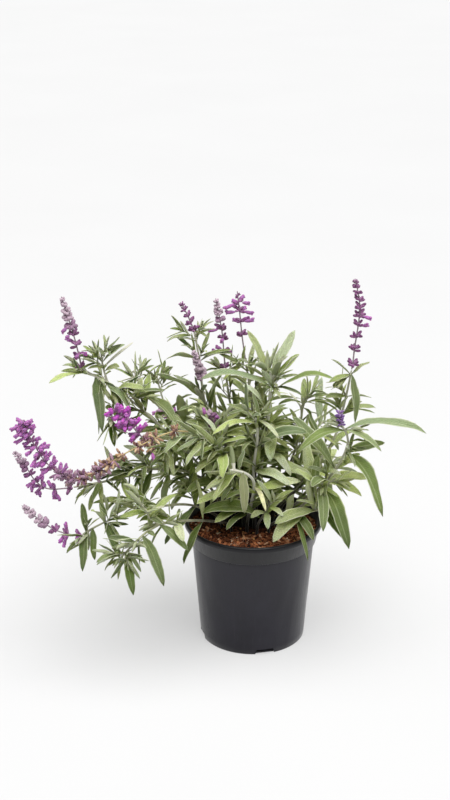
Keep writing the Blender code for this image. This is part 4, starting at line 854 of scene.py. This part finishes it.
def side_shoot(form, number, draw):
    """A short leafy shoot in a leaf's axil: its centre line, and where and how each leaf grows."""
    out = (form.way(0) - form.stem * form.way(0).dot(form.stem)).normalized()
    way = (form.stem * draw.uniform(0.4, 1.0) + out * draw.uniform(0.4, 0.9) + UP * 0.3).normalized()
    fullness = 1 - clamp(((form.root - HEART).length - HEART_RADIUS) / HEART_FADE)
    size = SIDE_LEAF[0] + (SIDE_LEAF[1] - SIDE_LEAF[0]) * max(SIDE_FULL, fullness) * draw.uniform(0.5, 1)
    lean = form.side * (draw.choice((-1, 1)) if number else draw.uniform(-0.3, 0.3))
    way = (way + lean).normalized()
    foot = form.root + form.stem * AXIL_RISE - out * AXIL_SINK
    reach = size * draw.uniform(0.25, 0.6)
    bow = way.orthogonal() * reach * draw.uniform(-0.12, 0.12)
    points = [foot, foot + way * reach * 0.5 + bow, foot + way * reach]
    turn = draw.uniform(0, math.pi)
    leaves = []
    for level, (share, spread, large) in enumerate(SHOOT_PAIRS):
        for k in range(2):
            around = Matrix.Rotation(turn + math.pi * (k + level / 2), 3, way) @ way.orthogonal().normalized()
            heading = (way + around * spread * draw.uniform(0.8, 1.2)).normalized()
            length = size * large * draw.uniform(0.8, 1.15)
            root = points[0].lerp(points[2], share)
            leaves.append((root, heading, around.cross(way), length, draw.uniform(0.1, 0.9)))
    return points, leaves


def placed(node, blade):
    """Add a blade to the leaves of its stem if there is room for it, and say whether there was."""
    outline = space.outline(blade)
    if not off_the_pot(blade) or not space.free(*outline):
        blade.free()
        return False
    space.add(*outline)
    put(blades[node], blade, 0)
    return True


leafy_nodes = sorted(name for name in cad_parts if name.startswith("leafy_stem_"))
spike_nodes = sorted(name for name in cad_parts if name.startswith("spike_"))
space = Space()
plants = {}
for node in leafy_nodes:
    stem_bm = solid_mesh(node)
    plants[node] = (take_leaves(stem_bm), stem_bm)
    space.add(*space.outline(stem_bm))
for node in spike_nodes:
    spike_bm = solid_mesh(node)
    space.add(*space.outline(spike_bm))
    spike_bm.free()

blades = {}
for node in leafy_nodes:
    draw = random.Random(node)
    blades[node] = leaf_bmesh()
    for form in plants[node][0]:
        age = max([dry for tip, dry in OLD_LEAVES if (form.tip - tip).length < NEAR_TIP], default=0.0)
        form.half_width *= 1 - DRY_CURL * age
        if (form.tip - CURLED_LEAF).length < NEAR_TIP:
            form.half_width *= CURLED
        darkest = LONG_TONE if form.length > LONG else 1.0
        if form.root.z - form.tip.z > HANGING:
            darkest = HANGING_TONE
        blade = leaf_blade(form, draw, LEAF_ROWS, LEAF_COLUMNS, age, darkest)
        space.add(*space.outline(blade))
        put(blades[node], blade, 0)

for stem, spot, tip, arch, width in FURTHER_LEAVES:
    node = "leafy_stem_" + stem
    draw = random.Random(node + str(spot))
    axil = min(plants[node][0], key=lambda form: (form.root - Vector(spot)).length)
    foot = axil.root + axil.stem * AXIL_RISE
    for attempt in range(FURTHER_TRIES):
        form = further_leaf(foot, Vector(tip) + jitter(draw, FURTHER_STRAY * attempt), arch, width)
        if placed(node, leaf_blade(form, draw, LEAF_ROWS, LEAF_COLUMNS, darkest=FURTHER_TONE)):
            break

shoots = {}
for node in leafy_nodes:
    draw = random.Random(node + " side shoots")
    shoots[node] = bmesh.new()
    often, chance = SIDE_GROWTH.get(node.removeprefix("leafy_stem_"), SIDE_SHOOTS)
    for form, number in [(form, number) for form in plants[node][0] for number in range(often)]:
        if form.length < SHORTEST_WITH_SHOOT or draw.random() > chance:
            continue
        points, leaves = side_shoot(form, number, draw)
        leafy = False
        for root, heading, side, length, droop in leaves:
            for attempt in range(SIDE_TRIES):
                way = (heading + jitter(draw, SIDE_STRAY * attempt)).normalized()
                across = (side - way * side.dot(way)).normalized()
                size = length * (1 - SIDE_SHRINK * attempt)
                small = young_leaf(root, way, across, size, droop)
                if placed(node, leaf_blade(small, draw, SIDE_ROWS, SIDE_COLUMNS)):
                    leafy = True
                    break
        if leafy:
            put(shoots[node], strand(points, SHOOT_RADIUS, 5, {"white": 0.0}), 0)

crowd = bmesh.new()
for node in leafy_nodes:
    put(crowd, blades[node].copy(), 0)
crowd_tree = BVHTree.FromBMesh(crowd)
crowd.free()
for node in leafy_nodes:
    shaded = blades[node].verts.layers.float["shaded"]
    for vert in blades[node].verts:
        met = [crowd_tree.ray_cast(vert.co + way * SHADE_START, way, SHADE_REACH)[0] for way in SHADE_WAYS]
        vert[shaded] = sum(spot is not None for spot in met) / len(SHADE_WAYS)

for node in leafy_nodes:
    white, thicker = WHITE_STEMS.get(node.removeprefix("leafy_stem_"), (0.0, 0.0))
    whole = smoothed(plants[node][1], 2, STEM_FATTEN + thicker)
    whiteness = whole.verts.layers.float.new("white")
    for vert in whole.verts:
        vert[whiteness] = white
    put(whole, shoots[node], 0)
    for face in whole.faces:
        face.material_index = 0 if face.calc_center_median().z > PLAIN_BLADE.get(node, 1) else 1
    thickened(blades[node])
    put(whole, blades[node], 0)
    piece = new_piece(node + "_look", whole, leaf.material, woolly.material)
    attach(piece, "root")
    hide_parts(node)


# Flower spikes: whorls of velvety purple calyces round a thin woolly axis, with violet
# corollas standing out of the ones in flower and small mauve buds at the tip.
AXIS_TIP_RADIUS, AXIS_FATTEN = 0.00095, 0.0002
PATCH_REACH = 0.0018
BUD_LENGTH = 0.0025
CALYX_SIDES, CALYX_RINGS = 7, 6
CALYCES_A_FACE, DRIED_A_FACE = 2, 6
DRIED_SIDES, DRIED_RINGS = 5, 4
DRIED_PLUMP = 0.14
DRIED_LENGTH, CROWDED_LENGTH = 0.0072, 0.0105
DRIED_JITTER = 0.7
CALYX_PLUMP = 0.21
CALYX_LENGTH = 0.0066
CALYX_RISE = (-0.1, 0.55)
CALYX_SINK = 0.0006
# Over the last stretch of a spike, CALYX_TAPER of its length, calyces shorten as if to vanish at
# CALYX_END, just past its tip.
CALYX_END, CALYX_TAPER = 1.08, 0.35
BUD_PLUMP = 0.30
# Along this stretch of the arching spike dry calyces fill the gaps between the whorls.
CROWDED = {"spike_arching": (0.385, 0.66)}
CROWD_DRIFT = 0.0062
WHORL_DRIFT = 0.0018
# The corollas are dusty, but those of the low cluster are fresh and vivid.
PETAL_TONES = {"spike_second_cluster": (0.3, 1.0)}
PETAL_TONE = (0.0, 0.6)
# The closed buds of this spike are bluer than the rest.
BLUE_BUDS = {"spike_right_front": 0.75}
COROLLA_SIDES, COROLLA_RINGS = 8, 6
HOOD_SIDES, HOOD_RINGS = 6, 5
COROLLA_LENGTH = (0.007, 0.0105)
TUBE_RADIUS, TUBE_SINK = 0.0024, 0.003
HOOD_RADIUS, LIP_GAP = 0.0019, 0.0006
LOBE_LENGTH, LOBE_RADIUS, LOBE_TURN = 0.0032, 0.0013, 0.3
WITHER_FADE, GREY_FADE = 0.2, 0.22
# For each spike: the share of its length that is dry, where its grey young tip starts, and the
# start and end of the part in flower, with how many of its calyces have a corolla.
SPIKE_AGES = {
    "spike_arching": (0.60, 0.93, 0.66, 1.0, 0.62),
    "spike_second_cluster": (0.26, 1.0, 0.34, 1.0, 0.75),
    "spike_left_mid": (0.0, 0.66, 0.12, 0.6, 0.45),
    "spike_lower_left": (0.0, 0.45, 0.0, 0.3, 0.35),
    "spike_upper_left": (0.0, 0.50, 0.2, 0.5, 0.25),
    "spike_right_tall": (0.0, 0.90, 0.25, 0.6, 0.16),
    "spike_top_left": (0.0, 0.85, 0.0, 0.0, 0.0),
    "spike_top_spike_a": (0.0, 0.60, 0.05, 0.5, 0.12),
    "spike_top_spike_b": (0.0, 0.95, 0.5, 0.9, 0.30),
    "spike_back_left": (0.0, 0.75, 0.1, 0.7, 0.35),
    "spike_top_left_side": (0.0, -0.1, 0.0, 0.0, 0.0),
    "spike_right_front": (0.0, 0.8, 0.0, 0.0, 0.0),
}
SPIKE_AGE = (0.0, 0.6, 0.2, 0.6, 0.0)


def take_flowers(bm):
    """The middles of the rings, and the tip, of every calyx of a spike's solid."""
    flowers = []
    for tip in tips(bm):
        if not tip.is_valid:
            continue
        rings = walk(tip)
        if len(rings) not in (1, 2, 5):
            continue
        first = [vert.co for vert in rings[0]]
        centre = middle(first)
        size = max((co - centre).length for co in first)
        if len(rings) == 1 and ((tip.co - centre).length < BUD_LENGTH or size > PATCH_REACH):
            continue
        if len(rings) == 2 and size < AXIS_TIP_RADIUS:
            continue
        flowers.append(([middle([vert.co for vert in ring]) for ring in rings[::-1]], tip.co.copy()))
        drop(bm, tip, rings)
    return flowers


def centre_line(bm):
    """Points along a bare axis, from its foot to its tip."""
    best = []
    for tip in tips(bm):
        rings = walk(tip)
        if len(rings) > len(best):
            best = [[tip]] + rings
    return [middle([vert.co for vert in ring]) for ring in best][::-1]


def nearest(line, spot):
    """The number of the point of a line that is nearest to a spot."""
    return min(range(len(line)), key=lambda k: (line[k] - spot).length)


def pod(bm, root, way, side, length, radius, mouth, sides, rings, values):
    """A closed bell: a sphere drawn out along its way, fuller or thinner at the far end."""
    made = bmesh.ops.create_uvsphere(bm, u_segments=sides, v_segments=rings, radius=1)["verts"]
    top = side.cross(way)
    end = bm.verts.layers.float.get("end")
    for vert in made:
        t = (vert.co.z + 1) / 2
        if end:
            vert[end] = t
        swell = 1 + mouth * (t - 0.5)
        vert.co = root + way * t * length + (side * vert.co.x + top * vert.co.y) * radius * swell
        for layer, value in values.items():
            vert[layer] = value


def level_across(way):
    """A level direction square to a way."""
    level = way.cross(UP)
    return level.normalized() if level.length > 0.1 else way.orthogonal().normalized()


def corolla(bm, mouth, ahead, reach, shade):
    """A corolla: a swollen tube, a woolly hood over its mouth, and two lobes of the lip below."""
    level = level_across(ahead)
    hood = level.cross(ahead)
    values = {bm.verts.layers.float["tone"]: shade}
    pod(bm, mouth - ahead * TUBE_SINK, ahead, level, reach * 0.86 + TUBE_SINK, TUBE_RADIUS, 0.5,
        COROLLA_SIDES, COROLLA_RINGS, values)
    over = (ahead + hood * 0.25).normalized()
    pod(bm, mouth + ahead * reach * 0.52 + hood * LIP_GAP, over, level, reach * 0.5, HOOD_RADIUS, -0.3,
        HOOD_SIDES, HOOD_RINGS, values)
    for turn in (-LOBE_TURN, LOBE_TURN):
        lobe = Matrix.Rotation(turn, 3, hood) @ (ahead - hood * 0.4).normalized()
        pod(bm, mouth + ahead * reach * 0.60 - hood * LIP_GAP, lobe, level, LOBE_LENGTH, LOBE_RADIUS, 0.3,
            HOOD_SIDES, HOOD_RINGS, values)


velvet = Finish("velvet_calyx", Roughness=0.8, Specular_IOR_Level=0.2, Sheen_Weight=0.8,
                Sheen_Roughness=0.35)
velvet.shader.inputs["Sheen Tint"].default_value = (0.80, 0.55, 0.85, 1)
fuzz = velvet.noise(2400, 3)
dry_calyx = velvet.ramp(velvet.attribute("tone"), (0.0, (0.06, 0.028, 0.017)), (0.3, (0.2, 0.105, 0.052)),
                        (0.7, (0.4, 0.26, 0.13)), (1.0, (0.66, 0.51, 0.28)))
velvet.colour(velvet.tinted(
    velvet.ramp(velvet.attribute("tone"), (0.0, (0.17, 0.045, 0.145)), (0.5, (0.28, 0.085, 0.245)),
                (1.0, (0.42, 0.18, 0.37))),
    (velvet.span(velvet.attribute("end"), 0.75, 0.0, 0, 0.5), (0.55, 0.32, 0.48)),
    (velvet.span(velvet.attribute("end"), 0.55, 0.9, 0, 0.75), (0.09, 0.022, 0.075)),
    (velvet.attribute("young"), (0.46, 0.36, 0.41)),
    (velvet.attribute("cool"), (0.15, 0.09, 0.29)),
    (velvet.span(fuzz, 0.5, 0.75, 0, 0.4), (0.62, 0.45, 0.6)),
    (velvet.attribute("age"), dry_calyx)))
velvet.bump(fuzz, 0.0004)

spike_stalk = Finish("spike_stalk", Roughness=0.85, Specular_IOR_Level=0.2, Sheen_Weight=0.4,
                     Sheen_Roughness=0.5)
stalk_fuzz = spike_stalk.noise(1800, 3)
spike_stalk.colour(spike_stalk.mix(spike_stalk.attribute("age"), spike_stalk.ramp(
    stalk_fuzz, (0.3, (0.22, 0.14, 0.20)), (0.7, (0.40, 0.34, 0.34))), (0.47, 0.36, 0.17)))
spike_stalk.bump(stalk_fuzz, 0.0002, 0.6)

petal = Finish("violet_corolla", Roughness=0.6, Specular_IOR_Level=0.3, Sheen_Weight=0.6,
               Sheen_Roughness=0.4, Subsurface_Weight=0.15, Subsurface_Scale=0.003)
petal.shader.inputs["Sheen Tint"].default_value = (0.9, 0.5, 0.95, 1)
petal_fuzz = petal.noise(2000, 2)
petal.colour(petal.tinted(
    petal.ramp(petal.attribute("tone"), (0.0, (0.22, 0.06, 0.215)), (0.5, (0.35, 0.095, 0.34)),
               (0.75, (0.38, 0.025, 0.36)), (1.0, (0.46, 0.01, 0.43))),
    (petal.span(petal_fuzz, 0.35, 0.7, 0, 0.45), (0.56, 0.29, 0.54))))
petal.bump(petal_fuzz, 0.0003, 0.6)


for node in spike_nodes:
    dry, grey, flower_from, flower_to, flowering = SPIKE_AGES.get(node, SPIKE_AGE)
    crowd_from, crowd_to = CROWDED.get(node, (1, 1))
    petal_tone = PETAL_TONES.get(node, PETAL_TONE)
    axis_bm = solid_mesh(node)
    flowers = take_flowers(axis_bm)
    line = centre_line(axis_bm)
    lengths = [0.0]
    for a, b in zip(line, line[1:]):
        lengths.append(lengths[-1] + (b - a).length)
    shares = [length / lengths[-1] for length in lengths]
    draw = random.Random(node)
    whole = smoothed(axis_bm, 1, AXIS_FATTEN)
    aged = whole.verts.layers.float.new("age")
    for vert in whole.verts:
        vert[aged] = 1.0 if shares[nearest(line, vert.co)] < dry else 0.0
    for face in whole.faces:
        face.material_index = 2
    calyces = bmesh.new()
    calyx_values = ("end", "tone", "young", "age", "cool")
    tone, young, age, cool = [calyces.verts.layers.float.new(name) for name in calyx_values][1:]
    corollas = bmesh.new()
    corollas.verts.layers.float.new("tone")
    for centres, tip in flowers:
        root = centres[0]
        k = nearest(line, root)
        share = shares[k]
        direction = (line[min(k + 1, len(line) - 1)] - line[max(k - 1, 0)]).normalized()
        calyx_tip = centres[2] if len(centres) > 2 else tip
        way = (calyx_tip - root).normalized()
        out = root - line[k]
        out = (out - direction * out.dot(direction)).normalized()
        wither = clamp((dry - share) / WITHER_FADE + 0.5) if dry else 0.0
        greyness = clamp((share - grey) / GREY_FADE)
        size = (calyx_tip - root).length
        in_flower = wither < 0.5 and flower_from <= share <= flower_to
        crowded = crowd_from < share < crowd_to
        dried = wither > 0.5 or crowded
        bud = greyness > 0
        shortest = 0 if bud else CALYX_LENGTH * min(1.0, (CALYX_END - share) / CALYX_TAPER)
        count = DRIED_A_FACE if dried else CALYCES_A_FACE + int(bud)
        drift = CROWD_DRIFT if crowded else WHORL_DRIFT
        sides, rings, plump = (DRIED_SIDES, DRIED_RINGS, DRIED_PLUMP) if dried else (
            CALYX_SIDES, CALYX_RINGS, BUD_PLUMP if bud else CALYX_PLUMP)
        for number in range(count * (2 if crowded else 1)):
            around = Matrix.Rotation(number * 0.5 * math.pi / count, 3, direction) @ out
            heading = around if number else way
            heading = (heading + direction * draw.uniform(*CALYX_RISE)).normalized()
            length = max(size, shortest) * draw.uniform(0.8, 1.1)
            if dried:
                heading = (heading + jitter(draw, DRIED_JITTER)).normalized()
                length = max(size, CROWDED_LENGTH if crowded else DRIED_LENGTH) * draw.uniform(0.75, 1.3)
            shade = {tone: draw.random(), young: max(greyness, draw.uniform(0.1, 0.6) if crowded else 0.0),
                     age: wither * (draw.choice((0.15, 0.9)) if crowded else draw.uniform(0.8, 1)),
                     cool: BLUE_BUDS.get(node, 0)}
            foot = (line[k] if number else root) - heading * CALYX_SINK
            foot += direction * draw.uniform(-drift, drift)
            pod(calyces, foot, heading, level_across(heading), length, length * plump, 0.5 + 0.4 * wither,
                sides, rings, shade)
            if in_flower and (number or len(centres) < 3) and draw.random() < flowering:
                ahead = (heading + out * 0.5 - UP * 0.15).normalized()
                corolla(corollas, foot + heading * length * 0.8, ahead, draw.uniform(*COROLLA_LENGTH),
                        draw.uniform(*petal_tone))
        if len(centres) > 2:
            ahead = centres[4] - calyx_tip
            corolla(corollas, calyx_tip, ahead.normalized(), ahead.length, draw.uniform(*petal_tone))
    put(whole, calyces, 0)
    put(whole, corollas, 1)
    piece = new_piece(node + "_look", whole, velvet.material, petal.material, spike_stalk.material)
    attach(piece, "root")
    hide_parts(node)


# Studio: a wide pale floor that glows a little, so that it stays nearly white, and soft light
# from above and from a panel at each side. The camera stands where the photograph was taken.
FLOOR_SIZE, FLOOR_GLOW = 14.0, 0.45
floor_bm = bmesh.new()
bmesh.ops.create_grid(floor_bm, x_segments=1, y_segments=1, size=FLOOR_SIZE)
floor_finish = Finish("pale_floor", Roughness=0.7, Specular_IOR_Level=0.2, Emission_Strength=FLOOR_GLOW)
floor_finish.shader.inputs["Emission Color"].default_value = (1, 1, 1, 1)
floor_finish.colour(floor_finish.ramp(floor_finish.noise(2, 2), (0.0, 0.26), (1.0, 0.28)))
floor = new_piece("studio_floor", floor_bm, floor_finish.material)

SKY_STRENGTH = 0.15
SUN_STRENGTH, SUN_SPREAD = 5.6, math.radians(70)
SUN_TILT = (math.radians(13), math.radians(5), 0)
PANEL_SPOTS = ((-1.3, 0.35, 0.7), (1.3, 0.35, 0.7))
PANEL_AIM = Vector((0, 0, 0.2))
PANEL_SIZE = (1.3, 1.5)
PANEL_ENERGY = 3.0
PHOTO_HEIGHT, FOCAL_PIXELS = 800, 1500
CAMERA_SPOT = (-0.0347, -1.687, 0.946)
CAMERA_TILT = math.radians(90 - 20.62)


def set_up(name, data, spot=(0, 0, 0), turn=(0, 0, 0)):
    """A lamp or a camera in its place."""
    thing = bpy.data.objects.new(name, data)
    thing.location = spot
    thing.rotation_euler = turn
    bpy.context.scene.collection.objects.link(thing)
    return thing


world = bpy.data.worlds.new("studio")
world.use_nodes = True
sky = world.node_tree.nodes["Background"]
sky.inputs["Color"].default_value = (1, 1, 1, 1)
sky.inputs["Strength"].default_value = SKY_STRENGTH
bpy.context.scene.world = world
bpy.context.scene.view_settings.view_transform = "Standard"
soft_sun = bpy.data.lights.new("soft_sun", "SUN")
soft_sun.energy = SUN_STRENGTH
soft_sun.angle = SUN_SPREAD
set_up("soft_sun", soft_sun, turn=SUN_TILT)

for number, spot in enumerate(PANEL_SPOTS):
    panel = bpy.data.lights.new(f"side_panel_{number + 1}", "AREA")
    panel.shape = "RECTANGLE"
    panel.size, panel.size_y = PANEL_SIZE
    panel.energy = PANEL_ENERGY
    turn = (PANEL_AIM - Vector(spot)).to_track_quat("-Z", "Y").to_euler()
    set_up(panel.name, panel, spot, turn).visible_camera = False

camera_data = bpy.data.cameras.new("photo_camera")
camera_data.sensor_fit = "VERTICAL"
camera_data.angle = 2 * math.atan(PHOTO_HEIGHT / 2 / FOCAL_PIXELS)
bpy.context.scene.camera = set_up("photo_camera", camera_data, CAMERA_SPOT, (CAMERA_TILT, 0, 0))
